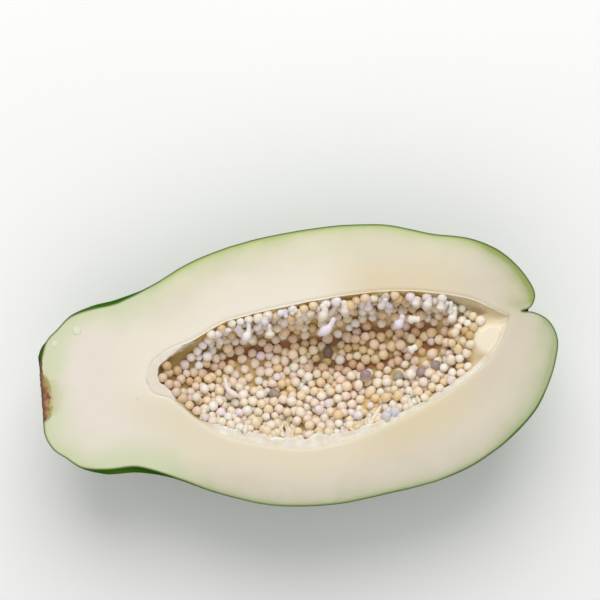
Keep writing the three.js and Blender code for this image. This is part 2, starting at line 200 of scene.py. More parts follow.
def cut_in_half(grid):
    """The skin below the knife's plane, as a bmesh in metres that is open at the cut."""
    rings, sides = len(grid) - 1, grid.shape[1]
    points = np.vstack([grid[0, :1], grid[1:-1].reshape(-1, 3), grid[-1, :1]])
    first, between, last = ring_faces(rings, sides)
    whole = bpy.data.meshes.new("whole_skin")
    whole.from_pydata((points * MM).tolist(), [], first + between + last)
    scar_rings = round(SCAR_SHARE * rings)
    for face in whole.polygons[:len(first) + (scar_rings - 1) * sides]:
        face.material_index = SCAR
    body = bmesh.new()
    body.from_mesh(whole)
    bpy.data.meshes.remove(whole)
    everything = body.verts[:] + body.edges[:] + body.faces[:]
    bmesh.ops.bisect_plane(
        body, geom=everything, dist=1e-7, plane_co=(0, 0, CUT_HEIGHT * MM), plane_no=(0, 0, 1),
        clear_outer=True)
    return body


def open_loop(body):
    """The corners of the open edge of a bmesh, in order."""
    follows = {}
    for edge in body.edges:
        if len(edge.link_faces) == 1:
            for here, there in (edge.verts, reversed(edge.verts)):
                follows.setdefault(here, []).append(there)
    start = next(iter(follows))
    loop = [start]
    before = None
    while True:
        onward = next(v for v in follows[loop[-1]] if v is not before)
        if onward is start and len(loop) > 2:
            return loop
        before = loop[-1]
        loop.append(onward)


def hollow_points(shares, angles):
    """Points of the hollow's wall at shares of its length, from the near rim down and up to the far."""
    angles = angles[None, :]
    far, near = curve_at(FAR_RIM, shares), curve_at(NEAR_RIM, shares)
    middle, half_span = (far + near) / 2, (far - near) / 2
    across, down = np.cos(angles), np.sin(angles)
    half_width = half_span[:, 1:]
    lean = HOLLOW_LEAN * (1 - across**2) * np.minimum(half_width / 30, 1)
    x = middle[:, :1] + half_span[:, :1] * across
    y = middle[:, 1:] + half_width * across + lean
    z = CUT_HEIGHT + half_width * HOLLOW_DEPTH * down
    return np.stack([x, y, z], axis=2)


def is_inside(points, polygon):
    """Which of the points lie inside a closed polygon."""
    inside = np.zeros(len(points), dtype=bool)
    ends = np.roll(polygon, -1, axis=0)
    for (x0, y0), (x1, y1) in zip(polygon, ends):
        if y0 != y1:
            crosses = (points[:, 1] < y0) != (points[:, 1] < y1)
            inside ^= crosses & (points[:, 0] < x0 + (points[:, 1] - y0) * (x1 - x0) / (y1 - y0))
    return inside


def distance_to(points, line, closed=True):
    """Shortest distance of each point to a line of corners."""
    nearest = np.full(len(points), np.inf)
    ends = np.roll(line, -1, axis=0) if closed else line[1:]
    for start, end in zip(line, ends):
        span = end - start
        share = np.clip((points - start) @ span / max(span @ span, 1e-12), 0, 1)
        nearest = np.minimum(nearest, np.linalg.norm(points - start - share[:, None] * span, axis=1))
    return nearest


def offset_inside(line, reach):
    """Corners of a closed line moved to its left by reach."""
    along = np.roll(line, -1, axis=0) - np.roll(line, 1, axis=0)
    side = np.stack([-along[:, 1], along[:, 0]], axis=1)
    return line + reach * side / np.maximum(np.linalg.norm(side, axis=1, keepdims=True), 1e-9)


def lattice(low, high, step, rng):
    """Points in staggered rows that fill a rectangle, each a little out of place."""
    rows = np.arange(low[1], high[1], step * 0.87)
    spots = np.array([
        (x + (row % 2) * step / 2, y) for row, y in enumerate(rows)
        for x in np.arange(low[0], high[0], step)])
    return spots + rng.uniform(-0.15 * step, 0.15 * step, spots.shape)


def cut_face_points(outer, rim):
    """Points spread over the cut face, closer together at both ends and along the hollow's lip."""
    rng = np.random.default_rng(3)
    spots = lattice(outer.min(axis=0), outer.max(axis=0), FLESH_STEP, rng)
    spots = spots[(distance_to(spots, outer) > 0.9) & (distance_to(spots, rim) > LIP_WIDTH + 0.5)]
    for corner, reach in (STEM_CORNER, STEM_REACH), (BLOSSOM_CORNER, BLOSSOM_REACH):
        apart = np.abs(spots - corner) / reach
        spots = spots[apart.max(axis=1) > 1]
        fine = lattice(np.subtract(corner, reach), np.add(corner, reach), FINE_STEP, rng)
        spots = np.vstack([spots, fine[distance_to(fine, outer) > 0.3]])
    lips = np.vstack([offset_inside(rim, -LIP_WIDTH * share) for share in (0.3, 0.65, 1)])
    spots = np.vstack([spots, lips[distance_to(lips, outer) > 0.4]])
    return spots[is_inside(spots, outer) & ~is_inside(spots, rim)]


def lip_drop(gap):
    """How far the flesh lies under the cut at a distance from the hollow's rim."""
    return LIP_DROP * (1 - smooth_step(gap, 0, LIP_WIDTH)) ** 1.5


def knife_height(points):
    """Height of the cut face against the knife's plane: slow waves and a faint drag."""
    level = np.c_[points, np.zeros(len(points))]
    return relief(level, *KNIFE_WAVES) + relief(level, *KNIFE_DRAG, stretch=(0.2, 1, 1))


def scar_shares(points, scar_gap):
    """Shares of the pale wedge behind the scar, and of the olive strip between it and the cork."""
    level = np.c_[points, np.zeros(len(points))]
    ragged = relief(level, *SCAR_RAGS, 3)
    y = points[:, 1] + ragged
    wedge = smooth_step(-y, *WEDGE_TOP) * smooth_step(y, *WEDGE_BOTTOM)
    wedge *= 1 - smooth_step(scar_gap + 2 * ragged, 0, WEDGE_DEPTH)
    strip = np.interp(y, *zip(*OLIVE_STRIP))
    return wedge, strip * (1 - smooth_step(scar_gap + ragged, *OLIVE_FADE))


def marks_on_cut(placed, outer, rim):
    """Heights of points of the cut face over the knife's plane, and what its colours go by."""
    skin_gap = distance_to(placed, outer)
    rim_gap = distance_to(placed, rim)
    at_stem = (outer[:, 0] < STEM_END) & (outer[:, 1] > SCAR_TIPS[0]) & (outer[:, 1] < SCAR_TIPS[1])
    scar_line = outer[at_stem]
    scar_gap = distance_to(placed, scar_line[np.argsort(scar_line[:, 1])], closed=False)
    scar_gap -= np.interp(placed[:, 1], *zip(*CORK_DEPTHS))
    height = knife_height(placed) * smooth_step(skin_gap, 0, KNIFE_FADE)
    height -= lip_drop(rim_gap)
    return height, np.stack([skin_gap, rim_gap, scar_gap, *scar_shares(placed, scar_gap)], axis=1)


def add_cut_face(body, layers, edge, rim):
    """Fills the cut between the skin's edge and the hollow's rim, and gives the rim's corners."""
    outer = np.array([v.co.xy for v in edge]) / MM
    corners = np.vstack([outer, rim, cut_face_points(outer, rim)])
    n_outer, n_rim = len(outer), len(rim)
    edges = [(i, (i + 1) % n_outer) for i in range(n_outer)]
    edges += [(n_outer + i, n_outer + (i + 1) % n_rim) for i in range(n_rim)]
    placed, _, triangles, sources, _, _ = delaunay_2d_cdt(
        [Vector(p) for p in corners], edges, [], 0, 1e-6)
    placed = np.array([tuple(p) for p in placed])
    middles = placed[np.array(triangles)].mean(axis=1)
    keep = is_inside(middles, outer) & ~is_inside(middles, rim)
    height, marks = marks_on_cut(placed, outer, rim)

    corner_of = {}
    vertices = []
    for number, source in enumerate(sources):
        first = min(source) if source else None
        if first is not None and first < n_outer:
            vertex = edge[first]
        else:
            vertex = body.verts.new((*(placed[number] * MM), (CUT_HEIGHT + height[number]) * MM))
        for layer, mark in zip(layers, marks[number]):
            vertex[layer] = mark
        for s in source:
            corner_of[s] = vertex
        vertices.append(vertex)
    for triangle, kept in zip(triangles, keep):
        if kept:
            face = body.faces.new([vertices[k] for k in triangle])
            face.material_index = FLESH
    return [corner_of[n_outer + k] for k in range(n_rim)]


def add_hollow(body, wall, rim_corners):
    """Hangs the hollow's wall from the corners of its rim."""
    rings, sides = wall.shape[0] - 1, wall.shape[1] - 1
    lumps = relief(wall.reshape(-1, 3), *HOLLOW_LUMPS).reshape(wall.shape[:2])
    columns = []
    for i in range(rings + 1):
        column = []
        for j in range(sides + 1):
            if i in (0, rings) and j > 0:
                column.append(column[0])
            elif j == 0 or i in (0, rings):
                column.append(rim_corners[i])
            elif j == sides:
                column.append(rim_corners[2 * rings - i])
            else:
                at = wall[i, j] + np.array([0, 0, lumps[i, j]]) * min(j, sides - j, 6) / 6
                column.append(body.verts.new(at * MM))
        columns.append(column)
    for i in range(rings):
        for j in range(sides):
            around = [columns[i][j], columns[i + 1][j], columns[i + 1][j + 1], columns[i][j + 1]]
            face = body.faces.new(list(dict.fromkeys(around)))
            face.material_index = HOLLOW_FLESH


def fruit_mesh():
    """The whole half: skin, scar, cut face and hollow, as one closed mesh."""
    body = cut_in_half(weathered_skin(skin_grid()))
    layers = [body.verts.layers.float.new(name) for name in (
        "rind_mm", "hollow_mm", "scar_mm", "wedge", "olive", "blossom_mm")]
    edge = open_loop(body)
    wall = hollow_points(
        np.linspace(0, 1, HOLLOW_RINGS + 1), np.linspace(math.pi, 2 * math.pi, HOLLOW_SIDES + 1))
    near_rim, far_rim = wall[:, 0, :2], wall[::-1, -1, :2]
    rim_corners = add_cut_face(body, layers, edge, np.vstack([near_rim, far_rim[1:-1]]))
    add_hollow(body, wall, rim_corners)

    bmesh.ops.recalc_face_normals(body, faces=body.faces[:])
    pole = Vector((*FAR_OUTLINE[-1], CUT_HEIGHT)) * MM
    for vertex in body.verts:
        vertex[layers[-1]] = (vertex.co - pole).length / MM
    for face in body.faces:
        face.smooth = True
    for a, b in zip(edge, edge[1:] + edge[:1]):
        body.edges.get((a, b)).smooth = False
    mesh = bpy.data.meshes.new("papaya_half")
    body.to_mesh(mesh)
    body.free()
    return mesh


def linear(colour):
    """An sRGB hex colour as the linear RGBA that shaders use."""
    shares = [int(colour[k:k + 2], 16) / 255 for k in (1, 3, 5)]
    return (*(s / 12.92 if s < 0.04045 else ((s + 0.055) / 1.055) ** 2.4 for s in shares), 1)


def per_mm(size):
    """The scale that gives a texture in object space features of this size in mm."""
    return 1 / (size * MM)


def add_node(tree, kind, settings, output=None):
    """Adds a node with its properties, values, colour stops and links, and returns its output."""
    node = tree.nodes.new("ShaderNode" + kind)
    for key, value in settings.items():
        if key == "stops":
            while len(node.color_ramp.elements) < len(value):
                node.color_ramp.elements.new(1)
            for element, (position, colour) in zip(node.color_ramp.elements, value):
                element.position = position
                element.color = linear(colour) if isinstance(colour, str) else (*[colour] * 3, 1)
        elif isinstance(key, str) and hasattr(node, key):
            setattr(node, key, value)
        else:
            socket = node.inputs[key] if isinstance(key, int) else next(
                s for s in node.inputs if s.name == key and s.enabled)
            if isinstance(value, bpy.types.NodeSocket):
                tree.links.new(value, socket)
            else:
                socket.default_value = linear(value) if isinstance(value, str) else value
    return node.outputs[output] if output else next(s for s in node.outputs if s.enabled)


def new_material(name):
    """A material with a Principled shader: itself, its node tree, that shader and its coordinates."""
    material = bpy.data.materials.new(name)
    material.use_nodes = True
    tree = material.node_tree
    return material, tree, tree.nodes["Principled BSDF"], add_node(tree, "TexCoord", {}, "Object")


def washed(tree, colour, value, start, end, strength, wash):
    """Lays a wash over a colour, from none where the value is start to its full strength at end."""
    share = add_node(tree, "MapRange", {
        "interpolation_type": "SMOOTHSTEP", "Value": value, "From Min": start, "From Max": end,
        "To Max": strength})
    return add_node(tree, "Mix", {"data_type": "RGBA", "Factor": share, "A": colour, "B": wash})


def finished(tree, shader, looks):
    """Sets or links the shader's sockets by name."""
    for name, value in looks.items():
        if isinstance(value, bpy.types.NodeSocket):
            tree.links.new(value, shader.inputs[name])
        else:
            shader.inputs[name].default_value = value


def green_waxed_skin():
    """Papaya skin: smooth and naturally waxed, deep green with paler patches, and a soft sheen."""
    material, tree, shader, place = new_material("green_papaya_skin")
    patches = add_node(
        tree, "TexNoise", {"Vector": place, "Scale": per_mm(55), "Detail": 3, "Roughness": 0.55})
    colour = add_node(tree, "ValToRGB", {
        "Fac": patches,
        "stops": [(0.30, "#20400A"), (0.46, "#2C540C"), (0.58, "#3A6812"), (0.74, "#4E7E1C")]})
    lengthwise = add_node(tree, "Mapping", {"Vector": place, "Scale": (0.16, 1, 1)})
    streaks = add_node(
        tree, "TexNoise", {"Vector": lengthwise, "Scale": per_mm(5), "Detail": 5, "Roughness": 0.6})
    colour = washed(tree, colour, streaks, 0.42, 0.75, 0.4, "#1C3D0A")
    blush = add_node(tree, "TexNoise", {"Vector": place, "Scale": per_mm(20), "Detail": 4})
    colour = washed(tree, colour, blush, 0.55, 0.75, 0.5, "#5E7A1E")
    flecks = add_node(tree, "TexVoronoi", {"Vector": place, "Scale": per_mm(6.5)})
    colour = washed(tree, colour, flecks, 0.09, 0.05, 0.6, "#86A660")
    along = add_node(tree, "SeparateXYZ", {"Vector": place}, "X")
    colour = washed(tree, colour, along, -112 * MM, -123 * MM, 0.75, "#4A5520")
    dimple = add_node(tree, "Attribute", {"attribute_name": "blossom_mm"}, "Fac")
    colour = washed(tree, colour, dimple, 9, 4, 0.8, "#5A5A22")
    # Near black at the blossom pole: the dimple's small dark scar, with painted shadow of its hole laid
    # over it.
    colour = washed(tree, colour, dimple, 5, 3.4, 1, "#1C1608")
    gloss = add_node(tree, "MapRange", {
        "Value": streaks, "From Min": 0.3, "From Max": 0.7, "To Min": 0.34, "To Max": 0.48})
    facing = add_node(tree, "LayerWeight", {"Blend": 0.5}, "Facing")
    mirror = add_node(tree, "MapRange", {
        "Value": facing, "From Min": 0.3, "From Max": 0.6, "To Min": 0.3, "To Max": 0})
    pores = add_node(tree, "TexNoise", {"Vector": place, "Scale": per_mm(0.9)})
    fine = add_node(tree, "Bump", {"Height": pores, "Strength": 0.25, "Distance": 0.08 * MM})
    broad = add_node(
        tree, "Bump", {"Height": streaks, "Normal": fine, "Strength": 0.5, "Distance": 0.35 * MM})
    finished(tree, shader, {
        "Base Color": colour, "Roughness": gloss, "Normal": broad, "IOR": 1.45,
        "Specular IOR Level": mirror})
    return material


def flesh_colour(tree, place, clouds):
    """Pale flesh: pinkish white in the neck, cream on the far side, greyer on the near one as painted
    shade.
    """
    along = add_node(tree, "SeparateXYZ", {"Vector": place}, "X")
    across = add_node(tree, "SeparateXYZ", {"Vector": place}, "Y")
    flesh = add_node(tree, "ValToRGB", {
        "Fac": clouds, "stops": [(0.35, "#E3DCC7"), (0.52, "#E8E1CC"), (0.68, "#EBE4D0")]})
    flesh = washed(tree, flesh, along, -58 * MM, -92 * MM, 0.8, "#EEE5DB")
    # Painted shade: the flesh greys towards the near side.
    flesh = washed(tree, flesh, across, -18 * MM, -52 * MM, 0.85, "#DCD2C2")
    flesh = washed(tree, flesh, along, 72 * MM, 112 * MM, 0.8, "#DAD1BE")
    rim_gap = add_node(tree, "Attribute", {"attribute_name": "hollow_mm"}, "Fac")
    warm = washed(tree, "#F0E8D8", across, 12 * MM, -12 * MM, 1, "#E8DCC3")
    warm = washed(tree, warm, along, 10 * MM, 45 * MM, 0.9, "#E2D3B2")
    warm = washed(tree, warm, along, 66 * MM, 98 * MM, 0.85, "#DCD1BF")
    return washed(tree, flesh, rim_gap, 24, 3, 1, warm)


def green_under_skin(tree, place, flesh):
    """Lays the green that fades inwards from the skin over the flesh, wider and greyer in the neck."""
    along = add_node(tree, "SeparateXYZ", {"Vector": place}, "X")
    across = add_node(tree, "SeparateXYZ", {"Vector": place}, "Y")
    skin_gap = add_node(tree, "Attribute", {"attribute_name": "rind_mm"}, "Fac")
    uneven = add_node(tree, "TexNoise", {"Vector": place, "Scale": per_mm(14), "Detail": 3})
    stretch = add_node(tree, "MapRange", {
        "Value": uneven, "From Min": 0.3, "From Max": 0.7, "To Min": 1.35, "To Max": 0.75})
    at_end = add_node(tree, "MapRange", {
        "Value": along, "From Min": 84 * MM, "From Max": 108 * MM, "To Min": 1, "To Max": 0.65})
    stretch = add_node(tree, "Math", {"operation": "MULTIPLY", 0: stretch, 1: at_end})
    dimple = add_node(tree, "Attribute", {"attribute_name": "blossom_mm"}, "Fac")
    clear = add_node(tree, "MapRange", {
        "interpolation_type": "SMOOTHSTEP", "Value": dimple, "From Min": 13, "From Max": 4,
        "To Max": 5})
    near_side = add_node(tree, "MapRange", {
        "Value": across, "From Min": 13 * MM, "From Max": 8 * MM, "To Min": 0.1})
    clear = add_node(tree, "Math", {"operation": "MULTIPLY", 0: clear, 1: near_side})
    depth = add_node(tree, "Math", {
        "operation": "MULTIPLY_ADD", 0: skin_gap, 1: stretch, 2: clear})
    green_share = add_node(tree, "ValToRGB", {
        "Fac": add_node(tree, "MapRange", {"Value": depth, "From Max": 15}),
        "stops": [(0.09, 0.95), (0.13, 0.7), (0.19, 0.5), (0.29, 0.34), (0.40, 0.21), (0.64, 0.09),
                  (1.0, 0.0)]})
    end_green = washed(tree, "#95A556", across, 14 * MM, 4 * MM, 1, "#AEB98A")
    # Painted shade: the green by the skin greys towards the near side.
    green = washed(tree, "#BCCA80", across, -18 * MM, -52 * MM, 1, "#AFB68A")
    green = washed(tree, green, along, 84 * MM, 106 * MM, 1, end_green)
    flesh = add_node(
        tree, "Mix", {"data_type": "RGBA", "Factor": green_share, "A": flesh, "B": green})
    patches = add_node(tree, "TexNoise", {"Vector": place, "Scale": per_mm(24), "Detail": 2})
    spread = add_node(tree, "MapRange", {
        "Value": patches, "From Min": 0.35, "From Max": 0.65, "To Max": 9})
    reach = add_node(tree, "Math", {"operation": "ADD", 0: skin_gap, 1: spread})
    neck = washed(tree, flesh, reach, 26, 3, 0.85, "#D8DDBB")
    neck_share = add_node(tree, "MapRange", {
        "Value": along, "From Min": -52 * MM, "From Max": -74 * MM})
    return add_node(tree, "Mix", {"data_type": "RGBA", "Factor": neck_share, "A": flesh, "B": neck})


def cut_flesh():
    """Raw papaya flesh under the knife: pale, moist and faintly see-through, greener to the skin."""
    material, tree, shader, place = new_material("cut_papaya_flesh")
    clouds = add_node(tree, "TexNoise", {"Vector": place, "Scale": per_mm(32), "Detail": 3})
    skin_gap = add_node(tree, "Attribute", {"attribute_name": "rind_mm"}, "Fac")
    flesh = green_under_skin(tree, place, flesh_colour(tree, place, clouds))
    flesh = washed(tree, flesh, skin_gap, 1.25, 0, 1, "#44621A")

    wedge = add_node(tree, "Attribute", {"attribute_name": "wedge"}, "Fac")
    flesh = washed(tree, flesh, wedge, 0, 1, 0.8, "#CFCBA2")
    olive = add_node(tree, "Attribute", {"attribute_name": "olive"}, "Fac")
    flesh = washed(tree, flesh, olive, 0, 1, 0.9, "#A39E4C")
    ragged = add_node(tree, "TexNoise", {"Vector": place, "Scale": per_mm(2.6), "Detail": 4})
    scar_gap = add_node(tree, "Attribute", {"attribute_name": "scar_mm"}, "Fac")
    scar_place = add_node(
        tree, "Math", {"operation": "MULTIPLY_ADD", 0: ragged, 1: 1.6, 2: scar_gap})
    cork = add_node(tree, "ValToRGB", {
        "Fac": ragged, "stops": [(0.35, "#7D5439"), (0.5, "#A6764E"), (0.66, "#BC9064")]})
    cork = washed(tree, cork, skin_gap, 1.9, 0.5, 0.8, "#5C4034")
    flesh = washed(tree, flesh, scar_place, 1.1, 0.7, 1, cork)

    cells = add_node(tree, "TexNoise", {"Vector": place, "Scale": per_mm(0.8), "Detail": 3})
    drag = add_node(tree, "Mapping", {
        "Vector": place, "Scale": (0.08, 1, 1), "Rotation": (0, 0, math.radians(4))})
    knife = add_node(tree, "TexNoise", {"Vector": drag, "Scale": per_mm(1.6), "Detail": 3})
    grain = add_node(tree, "Bump", {"Height": cells, "Strength": 0.2, "Distance": 0.06 * MM})
    marks = add_node(
        tree, "Bump", {"Height": knife, "Normal": grain, "Strength": 0.25, "Distance": 0.08 * MM})
    wet = add_node(tree, "MapRange", {
        "Value": clouds, "From Min": 0.35, "From Max": 0.65, "To Min": 0.4, "To Max": 0.52})
    # The lining's edge lies over the flesh at the rim, so no light sinks in there.
    rim_gap = add_node(tree, "Attribute", {"attribute_name": "hollow_mm"}, "Fac")
    clarity = add_node(tree, "MapRange", {
        "Value": rim_gap, "From Min": 1, "From Max": 5, "To Min": 0, "To Max": 0.3})
    finished(tree, shader, {
        "Base Color": flesh, "Roughness": wet, "Normal": marks, "IOR": 1.38,
        "Subsurface Weight": clarity, "Subsurface Radius": (1.0, 0.75, 0.4),
        "Subsurface Scale": 1.6 * MM})
    return material


def hollow_flesh():
    """The wall of the hollow where the lining leaves it bare: moist, cream to beige."""
    material, tree, shader, place = new_material("papaya_hollow_wall")
    blotches = add_node(tree, "TexNoise", {"Vector": place, "Scale": per_mm(8), "Detail": 4})
    tone = add_node(tree, "ValToRGB", {
        "Fac": blotches, "stops": [(0.35, "#D6C5A0"), (0.55, "#E0D2B2"), (0.7, "#E6DABF")]})
    bump = add_node(tree, "Bump", {"Height": blotches, "Strength": 0.3, "Distance": 0.3 * MM})
    finished(tree, shader, {"Base Color": tone, "Roughness": 0.4, "Normal": bump, "IOR": 1.38})
    return material


def stem_cork():
    """Dry cork of the stem scar: matt, tan to dark brown, cracked and crumbly."""
    material, tree, shader, place = new_material("stem_scar_cork")
    crumbs = add_node(
        tree, "TexNoise", {"Vector": place, "Scale": per_mm(2.4), "Detail": 6, "Roughness": 0.65})
    tone = add_node(tree, "ValToRGB", {
        "Fac": crumbs,
        "stops": [(0.33, "#3F2C1D"), (0.47, "#6E4F35"), (0.6, "#94704B"), (0.75, "#B3936A")]})
    cracks = add_node(
        tree, "TexVoronoi", {"feature": "DISTANCE_TO_EDGE", "Vector": place, "Scale": per_mm(2.8)})
    depth = add_node(tree, "MapRange", {"Value": cracks, "From Max": 0.12})
    gaps = add_node(tree, "Bump", {"Height": depth, "Strength": 0.7, "Distance": 0.4 * MM})
    rough = add_node(
        tree, "Bump", {"Height": crumbs, "Normal": gaps, "Strength": 0.8, "Distance": 0.5 * MM})
    finished(tree, shader, {"Base Color": tone, "Roughness": 0.85, "Normal": rough})
    return material


def new_piece(name, mesh, materials):
    """Puts a mesh in the scene as a piece of the fruit that moves with its only body."""
    piece = bpy.data.objects.new(name, mesh)
    bpy.context.scene.collection.objects.link(piece)
    for material in materials:
        mesh.materials.append(material)
    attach(piece, "root")
    return piece


half = new_piece(
    "papaya_half", fruit_mesh(), [green_waxed_skin(), cut_flesh(), hollow_flesh(), stem_cork()])
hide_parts("fruit_half")

# The seed lining. The hollow is lined with a soft wet skin that the seeds grow on, ochre on the
# walls and grown to the flesh all round. The knife tore it to a thick cream band along the near rim,
# left a thin clear film over the round tip, and a swollen seedless cushion shows at the sharp end.
FLESH_HOLD = 0.6  # the lining reaches this far into the flesh
LINING_FACE = 2.15  # its inner side lies this far from the hollow's wall, where it isn't swollen
LINING_SPAN = (0.006, 0.992)
LINING_RINGS, LINING_STEPS, HIDDEN_STEP = 320, 96, 4
SKIRT_WIDTH = (0.6, 0.5)  # the torn edge lies over the flesh by the first, and the second in places
SKIRT = [  # shares of it, and heights over the flesh
    (1, -0.5), (0.95, -0.3), (0.88, -0.12), (0.7, -0.02), (0.45, 0.02), (0.2, 0.03), (0, 0.04)]
RIM_STEPS = 8
BAND_WIDTHS = [  # of the torn band at stations along X, down from the near rim
    (-50, 3.5), (-38, 7), (-15, 8), (10, 6.5), (30, 4), (45, 3), (104, 3)]
BAND_SWELLS = [(-50, 2), (-30, 3.6), (-5, 3.8), (15, 3), (32, 1.4), (45, 0.6)]  # how thick it is there
BAND_SPAN, BAND_END = (-52, -42), (84, 94)  # it fades in and out between these stations
BAND_FALL = 0.12
BAND_RAGS, BAND_NICKS = (0.7, 10), (0.4, 4)  # shares of its width, and sizes, of its torn outline
STREAK_SIZE, LUMP_SIZE, CLOT_SIZE = 2.6, 9, 4
LINING_LUMPS = 0.25
THINNED, THINNED_REACH = 0.7, 5  # before the band the lining is this much thinner, this far down
FAR_RIM_SHARES, FAR_RIM_REACH = (0.3, 0.7), 7  # and below the far rim it thickens over this reach
FILM_RAGS = (0.6, 5)
FILM_DROP = 0.25
FILM_NEAR = [(-70, 6.3), (-65, 4.5), (-61, 0.3)]  # widths of the clear film at stations along X
FILM_FAR = [(-70, 6.3), (-66, 3.5), (-61, 1.9), (-52, 0.8), (-46, 0)]
CUSHION_PLACE, CUSHION_REACH = (95, -2), (13.5, 11)
CUSHION_BLEND = 1.5  # how softly it runs into the walls round it
CUSHION_DROP, CUSHION_FALL, CUSHION_SINK, CUSHION_LUMPS = 0.25, 5.5, 40, 0.3
CUSHION_TONE = (0.35, 1.15)  # shares of its reach over which its colour, dome and foot fall away
CUSHION_DOME, CUSHION_FOOT = (0.5, 1.25), (1.2, 1.5)
BARE_SPAN = (66, 84)  # the far wall has no seeds beyond these stations
BARE_WIDTH = 13
FURROWS = [  # the furrows between the rows of seeds, on the plan of the fruit in mm
    [(-52, 6), (-37, 11.5), (-20, 15.7), (5, 14.7), (24, 11.5), (34, 15.5), (52, 12), (69, 9.9), (80, 6)],
    [(4, 2.5), (13, 0), (25, -1.5), (38, -3.2), (46, -3.4), (64, 1.2), (76, -3)]]
FURROW_REACH = 4.4
FURROW_END = (64, 78)  # they fade out between these stations


def lining_wall():
    """The hollow's wall under the lining, its inward normals, and the way up to its two rims."""
    shares = np.linspace(*LINING_SPAN, LINING_RINGS + 1)
    wall = hollow_points(shares, np.linspace(math.pi, 2 * math.pi, LINING_STEPS + 1))
    inward = np.cross(np.gradient(wall, axis=0), np.gradient(wall, axis=1))
    inward /= np.maximum(np.linalg.norm(inward, axis=2, keepdims=True), 1e-9)
    steps = np.linalg.norm(np.diff(wall, axis=1), axis=2)
    down_near = np.concatenate([np.zeros((len(wall), 1)), np.cumsum(steps, axis=1)], axis=1)
    return wall, inward, down_near, down_near[:, -1:] - down_near


def furrow_share(x, y):
    """How deep in a furrow between the rows of seeds a place on the plan lies, from 0 to 1."""
    spots = np.stack([np.ravel(x), np.ravel(y)], axis=1)
    gap = np.minimum(*(distance_to(spots, np.array(line), closed=False) for line in FURROWS))
    share = (1 - smooth_step(gap, 0.2 * FURROW_REACH, FURROW_REACH)).reshape(np.shape(x))
    return share * (1 - smooth_step(x, *FURROW_END))


def grid_relief(grid, height, size, octaves=2):
    """Soft lumps and dents at a grid of points."""
    return relief(grid.reshape(-1, 3), height, size, octaves).reshape(grid.shape[:2])


def lining_zones(wall, down_near, down_far):
    """Where the lining is a torn band, film, cushion, bare wall or furrow, from 0 to 1."""
    x, y = wall[..., 0], wall[..., 1]
    along = wall * (1, 0, 0)
    ragged = grid_relief(along, *BAND_RAGS, 3) + grid_relief(along + 9, *BAND_NICKS)
    width = np.interp(x, *zip(*BAND_WIDTHS)) * (1 + ragged)
    plan = wall[..., :2].reshape(-1, 2)
    rims = [wall[:, 0, :2], wall[:, -1, :2]]
    film = np.zeros(x.shape)
    for rim, widths in zip(rims, (FILM_NEAR, FILM_FAR)):
        gap = distance_to(plan, rim, closed=False).reshape(x.shape) + grid_relief(wall, *FILM_RAGS)
        reach = np.interp(x, *zip(*widths)) + 0.01
        film = np.maximum(film, 1 - smooth_step(gap, reach - 1.0, reach + 0.2))
    from_cushion = np.hypot(
        (x - CUSHION_PLACE[0]) / CUSHION_REACH[0], (y - CUSHION_PLACE[1]) / CUSHION_REACH[1])
    return {
        "band": smooth_step(-down_near, -width, -0.25 * width) * smooth_step(x, *BAND_SPAN)
                * (1 - smooth_step(x, *BAND_END)),
        "film": film,
        "cushion": 1 - smooth_step(from_cushion, *CUSHION_TONE),
        "bare": smooth_step(x, *BARE_SPAN) * (1 - smooth_step(down_far, BARE_WIDTH * 0.6, BARE_WIDTH)),
        "furrow": furrow_share(x, y)}


def lining_inside(wall, inward, down_near, down_far, zones):
    """The inner side of the lining, which the seeds grow on."""
    half_width = (wall[:, -1:, 1] - wall[:, :1, 1]) / 2
    along_wall = np.stack([wall[..., 0], 0.2 * down_near, 0 * down_near], axis=2)
    streaks = grid_relief(along_wall, 1, STREAK_SIZE)
    lumps, clots = grid_relief(wall, 1, LUMP_SIZE), grid_relief(wall, 1, CLOT_SIZE)
    before_band = 1 - smooth_step(wall[..., 0], *BAND_SPAN)
    thin = 1 - THINNED * before_band * (1 - smooth_step(down_near, 0, THINNED_REACH))
    at_far_rim, lower_down = FAR_RIM_SHARES
    far_share = at_far_rim + lower_down * smooth_step(down_far, 0, FAR_RIM_REACH)
    gap = LINING_FACE * far_share * thin + LINING_LUMPS * lumps
    swell = np.interp(wall[..., 0], *zip(*BAND_SWELLS)) * zones["band"] * (1 - zones["cushion"])
    gap += swell * (0.8 + 0.5 * lumps + 0.5 * clots + 0.2 * streaks)
    gap = np.clip(gap, 0.35, np.maximum(0.55 * half_width, 0.5))
    inner = wall + inward * gap[..., None]
    far_out = np.hypot(
        (inner[..., 0] - CUSHION_PLACE[0]) / CUSHION_REACH[0],
        (inner[..., 1] - CUSHION_PLACE[1]) / CUSHION_REACH[1])
    cushion = CUT_HEIGHT - CUSHION_DROP - CUSHION_FALL * smooth_step(far_out, *CUSHION_DOME)
    cushion += CUSHION_LUMPS * lumps
    cushion -= CUSHION_SINK * smooth_step(far_out, *CUSHION_FOOT)
    apart = cushion - inner[..., 2]
    inner[..., 2] += (apart + np.sqrt(apart**2 + CUSHION_BLEND * (far_out < 2))) / 2
    film = CUT_HEIGHT - FILM_DROP + 0.2 * streaks
    inner[..., 2] += zones["film"] * (film - inner[..., 2])
    return inner


def rim_strip(rim, outward, inner_edge, fall):
    """Points across the top of the lining, from its edge in the flesh to its inner side."""
    level = rim * (1, 1, 0)
    least, more = SKIRT_WIDTH
    width = least + more * noise_over(level, 4, 3)
    points = []
    for share, height in SKIRT:
        at = rim + outward * (width * share)[:, None]
        at[:, 2] = CUT_HEIGHT + height + knife_height(at[:, :2]) - lip_drop(width * share)
        points.append(at)
    start = points[-1]
    across = np.linalg.norm((inner_edge - start)[:, :2], axis=1)
    for share in np.linspace(0, 1, RIM_STEPS + 1)[1:-1]:
        at = start + (inner_edge - start) * share
        lumps = noise_over(at, 3.2, 2) * smooth_step(across * share, 0, 2.5)
        climb = np.maximum(inner_edge[:, 2] - start[:, 2], -fall * across)
        at[:, 2] = start[:, 2] + climb * share**2 + 0.5 * lumps
        points.append(at)
    return np.stack(points, axis=1)


